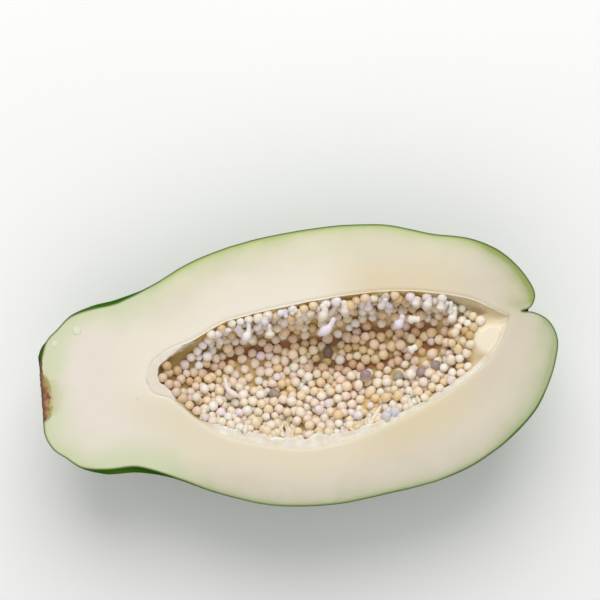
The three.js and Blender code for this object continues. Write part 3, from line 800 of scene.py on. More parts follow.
def plan_outward(rim, side):
    """Level directions away from the hollow along one of its rims."""
    along = np.gradient(rim, axis=0)
    outward = side * np.stack([-along[:, 1], along[:, 0], 0 * along[:, 0]], axis=1)
    return outward / np.maximum(np.linalg.norm(outward, axis=1, keepdims=True), 1e-9)


def paint_zones(mesh, wall, zones, strip_columns):
    """Gives each corner its share of every zone, and of the edge strips that look like flesh."""
    before_band = 1 - smooth_step(wall[:, :1, 0], *BAND_SPAN)
    near_edge = smooth_step(-np.arange(strip_columns), -strip_columns + 4, -2) + before_band
    far_edge = np.ones(strip_columns)
    for name, zone in {**zones, "edge": np.zeros(wall.shape[:2])}.items():
        near_values = np.repeat(zone[:, :1], strip_columns, axis=1)
        far_values = np.repeat(zone[:, -1:], strip_columns, axis=1)
        if name == "edge":
            near_values, far_values = near_values + near_edge, far_values + far_edge
        around = np.concatenate([zone[:, ::-HIDDEN_STEP], near_values, zone, far_values], axis=1)
        values = np.concatenate([around[0, :1], around.reshape(-1), around[-1, :1]])
        mesh.attributes.new(name, "FLOAT", "POINT").data.foreach_set("value", values.ravel())


def lining_mesh():
    """The lining as one closed bowl, and the inner side of it that the seeds sit on."""
    wall, inward, down_near, down_far = lining_wall()
    zones = lining_zones(wall, down_near, down_far)
    inner = lining_inside(wall, inward, down_near, down_far, zones)
    outer = (wall - inward * FLESH_HOLD)[:, ::-HIDDEN_STEP]
    outer[:, (0, -1), 2] -= 1.2
    near = rim_strip(wall[:, 0], plan_outward(wall[:, 0], -1), inner[:, 0], BAND_FALL)
    far = rim_strip(wall[:, -1], plan_outward(wall[:, -1], 1), inner[:, -1], 0)[:, ::-1]
    inner[:, 0, 2] = np.maximum(inner[:, 0, 2], near[:, -1, 2] - 0.3)
    loop = np.concatenate([outer, near, inner, far], axis=1)

    ends = [np.repeat(row.mean(axis=0)[None, None], loop.shape[1], axis=1) for row in (loop[0], loop[-1])]
    grid = np.concatenate([ends[0], loop, ends[1]])
    rings, sides = len(grid) - 1, grid.shape[1]
    points = np.vstack([grid[0, :1], grid[1:-1].reshape(-1, 3), grid[-1, :1]])
    first, between, last = ring_faces(rings, sides)
    mesh = bpy.data.meshes.new("seed_lining_skin")
    mesh.from_pydata((points * MM).tolist(), [], first + between + last)
    mesh.shade_smooth()
    paint_zones(mesh, wall, zones, near.shape[1])
    return mesh, inner, inward, down_near, down_far, zones


def wet_lining():
    """Placenta skin of an unripe fruit: wet, soft and a little see-through, ochre over the flesh."""
    material, tree, shader, place = new_material("wet_seed_lining")
    blotches = add_node(tree, "TexNoise", {"Vector": place, "Scale": per_mm(9), "Detail": 4})
    tone = add_node(tree, "ValToRGB", {
        "Fac": blotches, "stops": [(0.36, "#C6A25A"), (0.5, "#D9BC78"), (0.66, "#E8D4A0")]})
    along = add_node(tree, "SeparateXYZ", {"Vector": place}, "X")
    across = add_node(tree, "SeparateXYZ", {"Vector": place}, "Y")
    # Painted light: the lining is lighter towards the near side, whose wall faces the lamp.
    tone = washed(tree, tone, across, 0, -14 * MM, 0.7, "#E0C888")
    # Darker olive towards the narrow end: partly the lining's own olive, partly painted shade under the
    # far wall.
    tone = washed(tree, tone, along, -34 * MM, -50 * MM, 0.8, "#A98F54")
    tone = washed(tree, tone, along, 62 * MM, 86 * MM, 0.85, "#E5D5AE")
    fibres = add_node(tree, "TexNoise", {"Vector": place, "Scale": per_mm(4), "Detail": 2})
    cream = add_node(tree, "ValToRGB", {
        "Fac": fibres, "stops": [(0.34, "#EFE2C8"), (0.5, "#F6EEDD"), (0.64, "#FAF5EA")]})
    # The furrows' brown is partly the lining's own rust-brown and partly painted shade deep between the
    # rows.
    washes = {
        "furrow": "#9C6636", "bare": "#E0D1AF", "band": cream, "film": "#EDE3D5", "cushion": "#F6EBD3",
        "edge": flesh_colour(tree, place, blotches)}
    for zone, wash in washes.items():
        share = add_node(tree, "Attribute", {"attribute_name": zone}, "Fac")
        tone = washed(tree, tone, share, 0, 1, 0.95, wash)
    bump = add_node(tree, "Bump", {"Height": fibres, "Strength": 0.25, "Distance": 0.3 * MM})
    # Its edge strips are as dull as the flesh that they run out on.
    edge = add_node(tree, "Attribute", {"attribute_name": "edge"}, "Fac")
    clarity = add_node(tree, "MapRange", {
        "Value": edge, "From Min": 0, "From Max": 0.7, "To Min": 0.4, "To Max": 0})
    finished(tree, shader, {
        "Base Color": tone, "Roughness": 0.38, "Normal": bump, "IOR": 1.38,
        "Subsurface Weight": clarity, "Subsurface Radius": (1.0, 0.7, 0.35),
        "Subsurface Scale": 1.6 * MM})
    return material


lining, lining_face, lining_inward, down_near, down_far, zones = lining_mesh()
lining_piece = new_piece("seed_lining_skin", lining, [wet_lining()])
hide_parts("seed_lining")

# The seeds. Some six hundred white unripe ones grow on the lining in three rows with furrows
# between them, each a soft wet pearl on a short stalk that hides under it. They are crowded up to
# three deep, so they press on each other, and a few have failed and turned purple-grey.
SEED_RADII = (1.95, 2.35, 2.75)  # least, usual and most
SEED_LEVELS = (0, 3.6, 7.2)  # the layers lie this far over the first one
SEED_TRIES = (5000, 3200, 1500)
SEED_LIFT, LEVEL_SPREAD = 0.85, 0.4  # a share of the radius, and how even each layer is
SEED_CLOSENESS = 0.86  # two seeds start no closer than this share of their radii together
SETTLING_STEPS = 45
SETTLING_DROP = 0.12  # how far a seed sinks to the lining in one step
SEED_CRUSH = 0.97  # and two settled ones touch at this share of their radii together
PUSH_SHARE, LONGEST_PUSH = 0.45, 0.6
SEED_STAND = 0.45  # its middle comes to stand this share of its radius over the lining
SEED_TOP = 0.4  # no seed stands higher over the cut than this
SEED_SHAPES = ((0.05, 1.0), (0.12, 1.08), (0.2, 1.16), (0.08, 1.3))  # tapers and lengths
SHAPE_SHARES = (0.4, 0.3, 0.2, 0.1)
SEED_DENTS = (0.1, 1.3)
SEED_DRAW = 11
NEAR_TINTS = {"#F7E9D8": 5, "#F6E2D2": 5, "#F9F0E4": 4, "#F5E1C4": 3, "#F1E4E8": 1, "#EED5AC": 2}
# The middle row lies deep under the far rim, so its tints are darker and yellower as painted shade.
MIDDLE_SHADED_TINTS = {"#E8D5B0": 5, "#E0C89F": 4, "#EFDFC4": 4, "#ECD5BE": 3, "#E8DCDC": 1, "#D2B584": 2}
FAR_TINTS = {"#F6E9D9": 5, "#F0DABC": 4, "#F9F2E9": 4, "#E6CDA4": 2, "#F2E7EC": 2}
SHADE_TINT, SHADE_SHARE = "#B48250", 0.45  # painted shade: what lies in the furrows is darkened towards this tint
NARROW_SHADE = 0.4  # and so, as painted shade, is what lies in the narrow end
WALL_SHOWN, WALL_SHOWN_TO = 5.2, -44  # up to the second, settled seeds leave this much wall free
UNDERSIDE_SHADE_SHARE = 0.65  # painted shade darkens the lower side of each seed by this share
# The painted shade on each row's lower seed sides darkens towards these colours.
NEAR_UNDERSIDE_SHADE, MIDDLE_UNDERSIDE_SHADE, FAR_UNDERSIDE_SHADE = "#EDCF98", "#D2AB6C", "#E3C28E"
FAILED_SEEDS = {  # places on the plan of the fruit, in mm
    (-13.8, -7.8): "#A8978F", (17.6, 7.9): "#7C6459", (34.2, -4.7): "#A89298",
    (49.2, -10.4): "#A9A493", (62.5, -8.0): "#A18E8C", (59.1, -11.3): "#A5918F",
    (35.8, -26.4): "#D3D3DA", (39.3, -24.8): "#DAD9DF"}
FAILED_RADIUS = 2.7
RIM_ROW = (0.125, 0.36)  # the part of the near rim that has a row of seeds right at it
RIM_ROW_COUNT, RIM_ROW_DEPTH, RIM_ROW_INSET = 11, 1.9, 1.4
LAST_SEED = 96  # along X
FAR_RIM_FREE = 1  # the seeds stay this far from the far rim
NARROW_END = -46  # before this station they come closer to the near rim than after it
NEAR_RIM_FREE = (0.2, 1.2)
SHOWN_WALL = [(-58, 9), (-38, 0)]  # free wall under the far rim at stations along X
SEEDLESS = {"cushion": 0.35, "bare": 0.4, "film": 0.1}  # no seed where a zone has more than this
BARE_SPOTS = {(69, 9.3): 3.2, (-34.2, -9.2): 2.6, (2.2, -18.3): 2.8, (9, -9.5): 2.2, (52, -17): 3}


def seed_room(level):
    """Which points of the lining can carry a seed of the level."""
    x, y = lining_face[..., 0], lining_face[..., 1]
    room = (x < LAST_SEED) & (down_near > np.where(x < NARROW_END, *NEAR_RIM_FREE))
    room &= (down_far > FAR_RIM_FREE) & (down_far > np.interp(x, *zip(*SHOWN_WALL)))
    for zone, most in SEEDLESS.items():
        room &= zones[zone] < most
    for spot, reach in BARE_SPOTS.items():
        room &= np.hypot(x - spot[0], y - spot[1]) > reach
    clumps = noise_over(lining_face.reshape(-1, 3), 12, 2).reshape(room.shape)
    if level == 0:
        room &= (zones["band"] < 0.5) | (clumps > 0.22)
        return room & ((zones["furrow"] < 0.8) | (clumps > 0.02))
    room &= zones["band"] < 0.5
    far_wall = y > np.interp(x, *zip(*FURROWS[0]))
    room &= (down_far > 4) & (down_near > 3 + 3 * level) & (x > -62 + 8 * level) & (x < 92 - 8 * level)
    room &= zones["furrow"] < 0.6 - 0.25 * level
    room &= ~far_wall | (clumps > 0.15)
    room &= (x < 20) | (y > -6) | (clumps > 0.2)
    return room & ((clumps > -0.25) if level == 1 else (clumps > -0.05) & (y < -2))


def scattered_seeds(rng):
    """Middles and radii of seeds that are thrown on to the lining, level by level."""
    step_x, step_y = lining_face[1:, :-1], lining_face[:-1, 1:]
    base = lining_face[:-1, :-1]
    area = np.linalg.norm(np.cross(step_x - base, step_y - base), axis=2)

    rim = curve_at(NEAR_RIM, np.linspace(*RIM_ROW, RIM_ROW_COUNT))
    rim = np.c_[rim, np.full(RIM_ROW_COUNT, CUT_HEIGHT - RIM_ROW_DEPTH)]
    middles = rim - RIM_ROW_INSET * plan_outward(rim, -1)
    radii = np.full(RIM_ROW_COUNT, SEED_RADII[1])

    for level, (height, tries) in enumerate(zip(SEED_LEVELS, SEED_TRIES)):
        chance = (area * seed_room(level)[:-1, :-1]).ravel()
        i, j = np.unravel_index(rng.choice(len(chance), tries, p=chance / chance.sum()), area.shape)
        along, up = rng.random((2, tries, 1))
        at = base[i, j] + along * (step_x - base)[i, j] + up * (step_y - base)[i, j]
        sizes = rng.triangular(*SEED_RADII, tries)
        lift = SEED_LIFT * sizes + height + rng.uniform(-LEVEL_SPREAD, LEVEL_SPREAD, tries)
        for spot, size in zip(at + lining_inward[i, j] * lift[:, None], sizes):
            if np.all(np.linalg.norm(middles - spot, axis=1) > SEED_CLOSENESS * (radii + size)):
                middles, radii = np.vstack([middles, spot]), np.append(radii, size)
    return middles, radii


def settled(middles, radii):
    """Lets crowded seeds push each other aside and sink on to the lining, and gives their stands."""
    ground, normals = lining_face.reshape(-1, 3), lining_inward.reshape(-1, 3)
    tree = KDTree(len(ground))
    for number, point in enumerate(ground):
        tree.insert(point, number)
    tree.balance()
    reach = radii[:, None] + radii[None]
    for _ in range(SETTLING_STEPS):
        apart = middles[:, None] - middles[None]
        gaps = np.linalg.norm(apart, axis=2)
        np.fill_diagonal(gaps, 100)
        overlap = np.maximum(SEED_CRUSH * reach - gaps, 0)
        push = (apart * (overlap / gaps * PUSH_SHARE)[..., None]).sum(axis=1)
        middles = middles + np.clip(push, -LONGEST_PUSH, LONGEST_PUSH)
        nearest = [tree.find(point)[1] for point in middles]
        height = ((middles - ground[nearest]) * normals[nearest]).sum(axis=1)
        drop = np.clip(height - SEED_STAND * radii, -0.5, SETTLING_DROP)
        middles -= normals[nearest] * drop[:, None]
        middles[:, 2] = np.minimum(middles[:, 2], CUT_HEIGHT + SEED_TOP - radii)
    return middles, normals[nearest]


def turned_to(axes, spins):
    """Rotation matrices that stand a shape's Z on each axis, spun about it."""
    z = axes / np.linalg.norm(axes, axis=1, keepdims=True)
    helper = np.where(np.abs(z[:, 2:]) < 0.9, [[0.0, 0.0, 1.0]], [[1.0, 0.0, 0.0]])
    x = np.cross(helper, z)
    x /= np.linalg.norm(x, axis=1, keepdims=True)
    y = np.cross(z, x)
    turned_x = x * np.cos(spins)[:, None] + y * np.sin(spins)[:, None]
    return np.stack([turned_x, np.cross(z, turned_x), z], axis=2)


def seed_forms():
    """Corners of a few seeds of radius 1, round to pear-shaped and a little dented, and their faces."""
    ball = bmesh.new()
    bmesh.ops.create_icosphere(ball, subdivisions=3, radius=1)
    corners = np.array([v.co for v in ball.verts])
    faces = np.array([[v.index for v in f.verts] for f in ball.faces])
    ball.free()
    forms = []
    for number, (taper, length) in enumerate(SEED_SHAPES):
        form = corners * (1 + relief(corners + 10 * number, *SEED_DENTS)[:, None])
        form[:, :2] *= 1 + taper * form[:, 2:]
        form[:, 2] *= length
        forms.append(form)
    return np.array(forms), faces


def paint_corners(mesh, colours):
    """Gives a mesh one colour for each corner, from rows of linear RGBA."""
    layer = mesh.color_attributes.new("tint", "FLOAT_COLOR", "POINT")
    layer.data.foreach_set("color", np.asarray(colours, dtype=np.float32).ravel())


def seeds_mesh(name, middles, axes, radii, tints, underside_shade_tint, rng):
    """Many seeds in one mesh, each with painted shade on its lower side."""
    forms, faces = seed_forms()
    count = len(middles)
    picks = rng.choice(len(forms), count, p=SHAPE_SHARES)
    squeeze = rng.uniform(0.94, 1.04, (count, 1, 3))
    formed = forms[picks] * squeeze * radii[:, None, None]
    turns = turned_to(axes, rng.uniform(0, 2 * math.pi, count))
    placed = np.einsum("nij,nkj->nki", turns, formed) + middles[:, None]
    numbered = faces[None] + (np.arange(count) * forms.shape[1])[:, None, None]
    mesh = bpy.data.meshes.new(name)
    mesh.from_pydata((placed.reshape(-1, 3) * MM).tolist(), [], numbered.reshape(-1, 3).tolist())
    mesh.shade_smooth()
    # Painted shade: the lower side of each seed darkens towards the row's tint.
    underside_shade = (UNDERSIDE_SHADE_SHARE * smooth_step(-forms[picks][..., 2], 0, 0.9))[..., None]
    paint_corners(mesh, tints[:, None] * (1 - underside_shade) + np.array(linear(underside_shade_tint)) * underside_shade)
    return mesh


def drawn_tints(tints, count, rng):
    """Draws a colour for each seed, by the weights of the tints."""
    weights = np.array(list(tints.values()), dtype=float)
    picks = rng.choice(len(tints), count, p=weights / weights.sum())
    return np.array([linear(colour) for colour in tints])[picks]


def pearly_seed():
    """Skin of an unripe seed: a wet, milky gel over white, so light sinks in and glints stay small."""
    material, tree, shader, place = new_material("pearly_unripe_seed")
    tint = add_node(tree, "Attribute", {"attribute_name": "tint"}, "Color")
    milk = add_node(tree, "TexNoise", {"Vector": place, "Scale": per_mm(2.6)})
    colour = washed(tree, tint, milk, 0.45, 0.75, 0.25, "#D8BA92")
    bump = add_node(tree, "Bump", {"Height": milk, "Strength": 0.3, "Distance": 0.2 * MM})
    finished(tree, shader, {
        "Base Color": colour, "Roughness": 0.32, "Normal": bump, "IOR": 1.4,
        "Subsurface Weight": 0.75, "Subsurface Radius": (1.0, 0.75, 0.45),
        "Subsurface Scale": 2.2 * MM, "Coat Weight": 0.15, "Coat Roughness": 0.2})
    return material


seed_rng = np.random.default_rng(SEED_DRAW)
seed_middles, seed_radii = scattered_seeds(seed_rng)
seed_middles, seed_stands = settled(seed_middles, seed_radii)
far_gap = distance_to(seed_middles[:, :2], curve_at(FAR_RIM, np.linspace(0, 1, 90)), closed=False)
kept = (seed_middles[:, 0] > WALL_SHOWN_TO) | (far_gap > WALL_SHOWN)
seed_middles, seed_stands, seed_radii = seed_middles[kept], seed_stands[kept], seed_radii[kept]
seed_axes = seed_stands + 0.5 * seed_rng.standard_normal(seed_stands.shape)
upper_furrow, lower_furrow = (np.interp(seed_middles[:, 0], *zip(*line)) for line in FURROWS)
in_far_row = seed_middles[:, 1] > upper_furrow
in_middle_row = ~in_far_row & (seed_middles[:, 1] > lower_furrow) & (seed_middles[:, 0] > 4)
seed_rows = {
    "seeds_far_row": (in_far_row, FAR_TINTS, FAR_UNDERSIDE_SHADE),
    "seeds_middle_row": (in_middle_row, MIDDLE_SHADED_TINTS, MIDDLE_UNDERSIDE_SHADE),
    "seeds_near_row": (~in_far_row & ~in_middle_row, NEAR_TINTS, NEAR_UNDERSIDE_SHADE)}
seed_tints = np.empty((len(seed_middles), 4))
for row, tints, _ in seed_rows.values():
    seed_tints[row] = drawn_tints(tints, row.sum(), seed_rng)
# Painted shade: seeds in the furrows and in the narrow end are darkened towards the shade tint.
shade = np.maximum(
    SHADE_SHARE * furrow_share(seed_middles[:, 0], seed_middles[:, 1]),
    NARROW_SHADE * smooth_step(-seed_middles[:, 0], 42, 60))[:, None]
seed_tints = seed_tints * (1 - shade) + np.array(linear(SHADE_TINT)) * shade
for place, colour in FAILED_SEEDS.items():
    aside = np.linalg.norm(seed_middles[:, :2] - place, axis=1) - 0.5 * seed_middles[:, 2]
    failed = np.argmin(aside)
    seed_tints[failed] = linear(colour)
    seed_radii[failed] = FAILED_RADIUS

seed_material = pearly_seed()
for name, (row, _, underside_shade_tint) in seed_rows.items():
    mesh = seeds_mesh(
        name, seed_middles[row], seed_axes[row], seed_radii[row], seed_tints[row], underside_shade_tint,
        seed_rng)
    new_piece(name, mesh, [seed_material])

# The stalked seeds. Along the far rim the seeds hang on their white stalks, which the knife has laid
# bare, and some have come loose and lie on the others.
STALK_SIDES, STALK_STEPS = 12, 26
STALKED_SEEDS = [  # route from root to tip as x, y and depth under the cut, stalk and bulb radius
    ([(-19.2, 29.0, 1.8), (-20.4, 22.5, 3.5), (-24.1, 18.4, 5.6)], 1.1, 2.2),
    ([(-28.0, 25.0, 2.1), (-32.7, 25.3, 2.8), (-37.5, 22.7, 3.5)], 1.25, 2),
    ([(-9.8, 25.0, 2.8), (-10.2, 21.0, 4.2), (-10.5, 17.7, 4.9)], 1.05, 2.4),
    ([(1.4, 27.0, 1.4), (3.0, 28.8, 1.1), (4.9, 29.6, 1)], 1.35, 2),
    ([(-0.7, 26.0, 2.4), (-2.4, 28.9, 1.1), (-5.5, 28.0, 1.4)], 1.15, 1.8),
    ([(-9.3, 29.3, 1), (-11.0, 27.5, 1.7), (-12.5, 24.0, 3.5)], 1.45, 2),
    ([(16.7, 30.0, 0.6), (17.6, 26.0, 1.8), (13.8, 21.2, 4.2)], 1.6, 2.4),
    ([(27.5, 29.6, 0.7), (27.4, 26.0, 1.8), (26.5, 21.8, 4.2)], 1.6, 2.3),
    ([(21.8, 22.6, 4.2), (18.5, 18.3, 4.9), (12.2, 15.3, 5.6)], 1.35, 2.6),
    ([(-35.5, 4.2, 9.1), (-34.8, -2.6, 7.7), (-30.0, -7.4, 6.3)], 1.15, 1.6),
    ([(54.3, 17.9, 3.5), (52.8, 14.8, 4.9), (48.8, 12.1, 5.6)], 1.45, 2.4),
    ([(62.4, 14.0, 4.9), (59.0, 14.8, 4.9), (55.7, 14.7, 5.2)], 1.6, 2.2),
    ([(62.9, 25.1, 1.4), (62.0, 23.0, 2.1), (60.3, 20.2, 3.5)], 1.45, 2.1),
    ([(68.2, 24.0, 1.4), (67.5, 21.8, 2.1), (65.5, 18.0, 3.5)], 1.6, 2.3),
    ([(79.6, 17.3, 2.8), (78.6, 13.0, 4.2), (74.9, 10.5, 5.6)], 1.15, 2.1),
    ([(73.7, 21.0, 2.1), (73.2, 19.0, 2.8), (72.3, 16.5, 4.2)], 1.55, 2.2),
    ([(77.4, -0.4, 6.3), (80.3, -1.2, 5.6), (83.3, -2.5, 5.2)], 1.55, 2),
    ([(58.7, 1.7, 8.4), (56.0, 0.9, 8), (53.9, -0.1, 7.7)], 1.55, 2.3)]
RIM_STALKS = 22  # at most this many more are placed along the far rim by a seeded draw
SHORTEST_STALK = 7.5  # shorter ones are left out
STALK_ROWS = (94, 256)  # rings of the lining that they may be rooted on
STALK_SWAY = 8  # rings that a tip may hang aside
ROOT_DEPTHS, TIP_DEPTHS = (2.5, 4.5), (9.5, 13)  # down the far wall
ROOT_LIFT, BEND_LIFT, TIP_LIFT = 1.8, 1.2, 4.2  # off it
RIM_STALK_RADII, RIM_BULB_RADII = (1.1, 1.4), (1.9, 2.3)
SHAVED_TO = 0.3  # the knife shaved stalks and threads to this height over the cut
STALK_TINTS = {"#F7F3EE": 1, "#EFE6EE": 1, "#F4EADF": 1, "#F1E4DA": 1}


def frames_along(points):
    """Frames that turn with a line of points without twisting about it."""
    along = np.gradient(points, axis=0)
    along /= np.linalg.norm(along, axis=1, keepdims=True)
    side = np.cross(along[0], (0.3, 0.9, 0.3))
    frames = []
    for ahead in along:
        side = side - (side @ ahead) * ahead
        side /= np.linalg.norm(side)
        frames.append(np.stack([side, np.cross(ahead, side), ahead], axis=1))
    return np.array(frames)


def tube(route, radii, sides, steps):
    """Rings of points round a smooth route, closed at both ends and shaved level with the cut."""
    shares = np.linspace(0, 1, steps + 1)
    middles = curve_at(route, shares)
    frames = frames_along(middles)
    reach = np.interp(shares, np.linspace(0, 1, len(radii)), radii)
    angles = np.linspace(0, 2 * math.pi, sides, endpoint=False)
    circle = np.stack([np.cos(angles), np.sin(angles), 0 * angles], axis=1)
    rings = middles[:, None] + reach[:, None, None] * np.einsum("nij,kj->nki", frames, circle)
    points = np.vstack([rings[0].mean(axis=0), rings[1:-1].reshape(-1, 3), rings[-1].mean(axis=0)])
    points[:, 2] = np.minimum(points[:, 2], CUT_HEIGHT + SHAVED_TO)
    first, between, last = ring_faces(steps, sides)
    return points, first + between + last


def tubes_mesh(name, tubes, tints):
    """Many tubes in one mesh, each with its tint."""
    points, faces, colours = [], [], []
    for (corners, sides), tint in zip(tubes, tints):
        start = len(points)
        points.extend((corners * MM).tolist())
        faces.extend([[start + k for k in face] for face in sides])
        colours.extend([tint] * len(corners))
    mesh = bpy.data.meshes.new(name)
    mesh.from_pydata(points, [], faces)
    mesh.shade_smooth()
    paint_corners(mesh, colours)
    return mesh


def bulb_profile(stalk, bulb):
    """Radii from root to tip: an even stalk that swells to a round seed at its end."""
    return [0.2, stalk, stalk, stalk * 0.95, stalk, stalk * 1.1, bulb * 0.8, bulb, bulb, bulb * 0.85,
            bulb * 0.5, 0.05]


def rim_stalks(rng):
    """Routes of further stalked seeds, rooted high on the far wall and hanging down it."""
    routes = []
    for i in rng.choice(np.arange(*STALK_ROWS), RIM_STALKS, replace=False):
        root_step = np.argmin(np.abs(down_far[i] - rng.uniform(*ROOT_DEPTHS)))
        aside = i + int(rng.integers(-STALK_SWAY, STALK_SWAY + 1))
        tip_step = np.argmin(np.abs(down_far[aside] - rng.uniform(*TIP_DEPTHS)))
        root = lining_face[i, root_step] + ROOT_LIFT * lining_inward[i, root_step]
        tip = lining_face[aside, tip_step] + TIP_LIFT * lining_inward[aside, tip_step]
        bend = (root + tip) / 2 + BEND_LIFT * lining_inward[i, root_step]
        if np.linalg.norm(tip - root) > SHORTEST_STALK:
            routes.append(
                ([root, bend, tip], rng.uniform(*RIM_STALK_RADII), rng.uniform(*RIM_BULB_RADII)))
    return routes


def white_stalk():
    """Stalks and torn threads: wet and white as the seeds, but solid, so light doesn't sink in."""
    material, tree, shader, place = new_material("white_seed_stalk")
    tint = add_node(tree, "Attribute", {"attribute_name": "tint"}, "Color")
    milk = add_node(tree, "TexNoise", {"Vector": place, "Scale": per_mm(2.2)})
    colour = washed(tree, tint, milk, 0.45, 0.75, 0.3, "#E0CBAA")
    bump = add_node(tree, "Bump", {"Height": milk, "Strength": 0.3, "Distance": 0.2 * MM})
    finished(tree, shader, {"Base Color": colour, "Roughness": 0.36, "Normal": bump, "IOR": 1.4})
    return material


stalk_material = white_stalk()
stalk_rng = np.random.default_rng(5)
stalked = [
    ([(x, y, CUT_HEIGHT - depth) for x, y, depth in route], stalk, bulb)
    for route, stalk, bulb in STALKED_SEEDS] + rim_stalks(stalk_rng)
stalk_tubes = [tube(route, bulb_profile(stalk, bulb), STALK_SIDES, STALK_STEPS)
               for route, stalk, bulb in stalked]
stalk_tints = drawn_tints(STALK_TINTS, len(stalk_tubes), stalk_rng)
new_piece(
    "stalked_seeds", tubes_mesh("stalked_seeds", stalk_tubes, stalk_tints), [stalk_material])

# The fibres. Threads of torn lining run down from the near rim between the seeds, white and limp.
FIBRE_COUNT = 60
FIBRE_SIDES, FIBRE_STEPS = 6, 14
FIBRE_ROWS = (70, 150, 270)  # rings of the lining that they start on: first, usual and last
FIBRE_COLUMNS = (6, 18)  # steps that they run down the lining
FIBRE_DRIFT = 0.9
FIBRE_ROOT, FIBRE_TIPS = -0.2, (2.5, 5)  # how far they lie off it
FIBRE_RADII = (0.8, 1.5)
FIBRE_TINTS = {"#F7F0E2": 1, "#F3E8D4": 1, "#EDE0C6": 1}


def rim_fibres(rng):
    """Routes of the threads, which follow the lining down from the near rim and wander sideways."""
    routes = []
    for _ in range(FIBRE_COUNT):
        i = int(rng.triangular(*FIBRE_ROWS))
        steps = int(rng.integers(*FIBRE_COLUMNS))
        drift = rng.uniform(-FIBRE_DRIFT, FIBRE_DRIFT)
        columns = np.linspace(1, 1 + steps, 4).astype(int)
        rows = np.clip(i + drift * columns, 0, LINING_RINGS).astype(int)
        lift = np.linspace(FIBRE_ROOT, rng.uniform(*FIBRE_TIPS), 4)[:, None]
        routes.append((lining_face[rows, columns] + lining_inward[rows, columns] * lift,
                       rng.uniform(*FIBRE_RADII)))
    return routes


fibre_rng = np.random.default_rng(8)
fibre_tubes = [
    tube(route, [0.1, radius, radius, radius * 0.8, 0.1], FIBRE_SIDES, FIBRE_STEPS)
    for route, radius in rim_fibres(fibre_rng)]
fibre_tints = drawn_tints(FIBRE_TINTS, FIBRE_COUNT, fibre_rng)
new_piece(
    "lining_fibres", tubes_mesh("lining_fibres", fibre_tubes, fibre_tints), [stalk_material])

# The latex. Where the knife opened the milk tubes near the skin of the neck, a few drops have welled
# up on the flesh and dried to flat cream beads.
LATEX_DROPS = {(-101.2, 37.7): 2.1, (-112.7, 33.4): 1.6, (-78.0, 0.8): 0.8}  # places and radii in mm
DROP_FLATNESS = 0.13


def latex_mesh():
    """The drops, as flattened beads that are sunk halfway into the flesh."""
    forms, faces = seed_forms()
    beads = []
    for number, ((x, y), radius) in enumerate(LATEX_DROPS.items()):
        beads.append(forms[number] * radius * (1, 1, DROP_FLATNESS) + (x, y, CUT_HEIGHT))
    numbered = [faces + number * len(forms[0]) for number in range(len(beads))]
    mesh = bpy.data.meshes.new("latex_drops")
    mesh.from_pydata((np.vstack(beads) * MM).tolist(), [], np.vstack(numbered).tolist())
    mesh.shade_smooth()
    return mesh


def dried_latex():
    """Papaya latex, milk-white when it bleeds and cream once dry, with a dull satin skin."""
    material, tree, shader, place = new_material("dried_papaya_latex")
    clots = add_node(tree, "TexNoise", {"Vector": place, "Scale": per_mm(1.2), "Detail": 2})
    tone = add_node(tree, "ValToRGB", {"Fac": clots, "stops": [(0.4, "#DDE0BE"), (0.6, "#E6E7CB")]})
    bump = add_node(tree, "Bump", {"Height": clots, "Strength": 0.3, "Distance": 0.1 * MM})
    finished(tree, shader, {
        "Base Color": tone, "Roughness": 0.5, "Normal": bump, "IOR": 1.42})
    return material


new_piece("latex_drops", latex_mesh(), [dried_latex()])

# The floor and the light: a plain white table top, a large soft lamp beyond the far side, a weaker
# one over the near side, and a pale even room.
FLOOR_WIDTH = 6.0  # this and the lamps' places and widths are in metres
LAMPS = {
    "far_lamp": {"at": (0.15, 0.9, 1.15), "width": 1.3, "watts": 13},
    "near_lamp": {"at": (-0.3, -0.8, 1.3), "width": 1.4, "watts": 3.5}}
ROOM_COLOUR, ROOM_BRIGHTNESS = "#FBFBFA", 0.47


def white_laminate():
    """Matt white laminate of a table top."""
    material, tree, shader, place = new_material("white_table_top")
    haze = add_node(tree, "TexNoise", {"Vector": place, "Scale": per_mm(400)})
    tone = add_node(tree, "ValToRGB", {"Fac": haze, "stops": [(0.3, "#FAFAF9"), (0.7, "#FDFDFC")]})
    finished(tree, shader, {"Base Color": tone, "Roughness": 0.7})
    return material


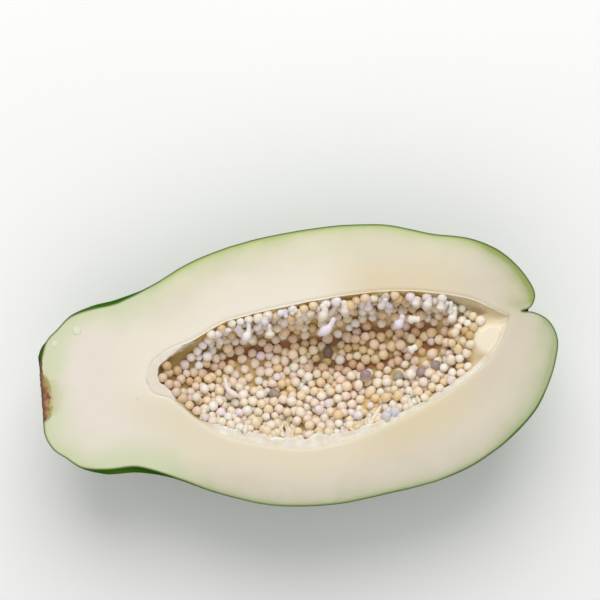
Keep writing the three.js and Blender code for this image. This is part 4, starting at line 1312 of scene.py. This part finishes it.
floor_mesh = bpy.data.meshes.new("floor")
half_floor = FLOOR_WIDTH / 2
floor_mesh.from_pydata(
    [(-half_floor, -half_floor, 0), (half_floor, -half_floor, 0),
     (half_floor, half_floor, 0), (-half_floor, half_floor, 0)],
    [], [(0, 1, 2, 3)])
floor_mesh.materials.append(white_laminate())
floor = bpy.data.objects.new("floor", floor_mesh)
bpy.context.scene.collection.objects.link(floor)

for lamp_name, lamp in LAMPS.items():
    light = bpy.data.lights.new(lamp_name, "AREA")
    light.shape = "DISK"
    light.size = lamp["width"]
    light.energy = lamp["watts"]
    holder = bpy.data.objects.new(lamp_name, light)
    holder.location = lamp["at"]
    towards = Vector((0, 0, CUT_HEIGHT * MM)) - Vector(lamp["at"])
    holder.rotation_euler = towards.to_track_quat("-Z", "Y").to_euler()
    bpy.context.scene.collection.objects.link(holder)

room = bpy.data.worlds.new("room")
room.use_nodes = True
room.node_tree.nodes["Background"].inputs["Color"].default_value = linear(ROOM_COLOUR)
room.node_tree.nodes["Background"].inputs["Strength"].default_value = ROOM_BRIGHTNESS
bpy.context.scene.world = room
bpy.context.scene.view_settings.view_transform = "Standard"

# The camera looks down on the cut face from the near side, a little off the vertical, and is turned
# so that the fruit's blossom end rises to the right.
AIM = (6.8, 33.3, CUT_HEIGHT)  # what the middle of the picture shows, in mm
FRUIT_TILT = math.radians(10.23)
LEAN_BACK = math.radians(4)
CAMERA_DISTANCE = 1.15  # in metres, as is the width that the picture shows
FRAME_WIDTH = 0.288
SENSOR_WIDTH = 36  # in mm

camera_data = bpy.data.cameras.new("camera")
camera_data.sensor_width = SENSOR_WIDTH
camera_data.lens = SENSOR_WIDTH * CAMERA_DISTANCE / FRAME_WIDTH
camera = bpy.data.objects.new("camera", camera_data)
picture_right = Vector((math.cos(FRUIT_TILT), -math.sin(FRUIT_TILT), 0))
picture_up = Vector((math.sin(FRUIT_TILT), math.cos(FRUIT_TILT), 0))
back = Vector((0, 0, 1)) * math.cos(LEAN_BACK) - picture_up * math.sin(LEAN_BACK)
up = back.cross(picture_right)
camera.matrix_world = Matrix.Translation(Vector(AIM) * MM + back * CAMERA_DISTANCE) @ Matrix(
    (picture_right, up, back)).transposed().to_4x4()
bpy.context.scene.collection.objects.link(camera)
bpy.context.scene.camera = camera
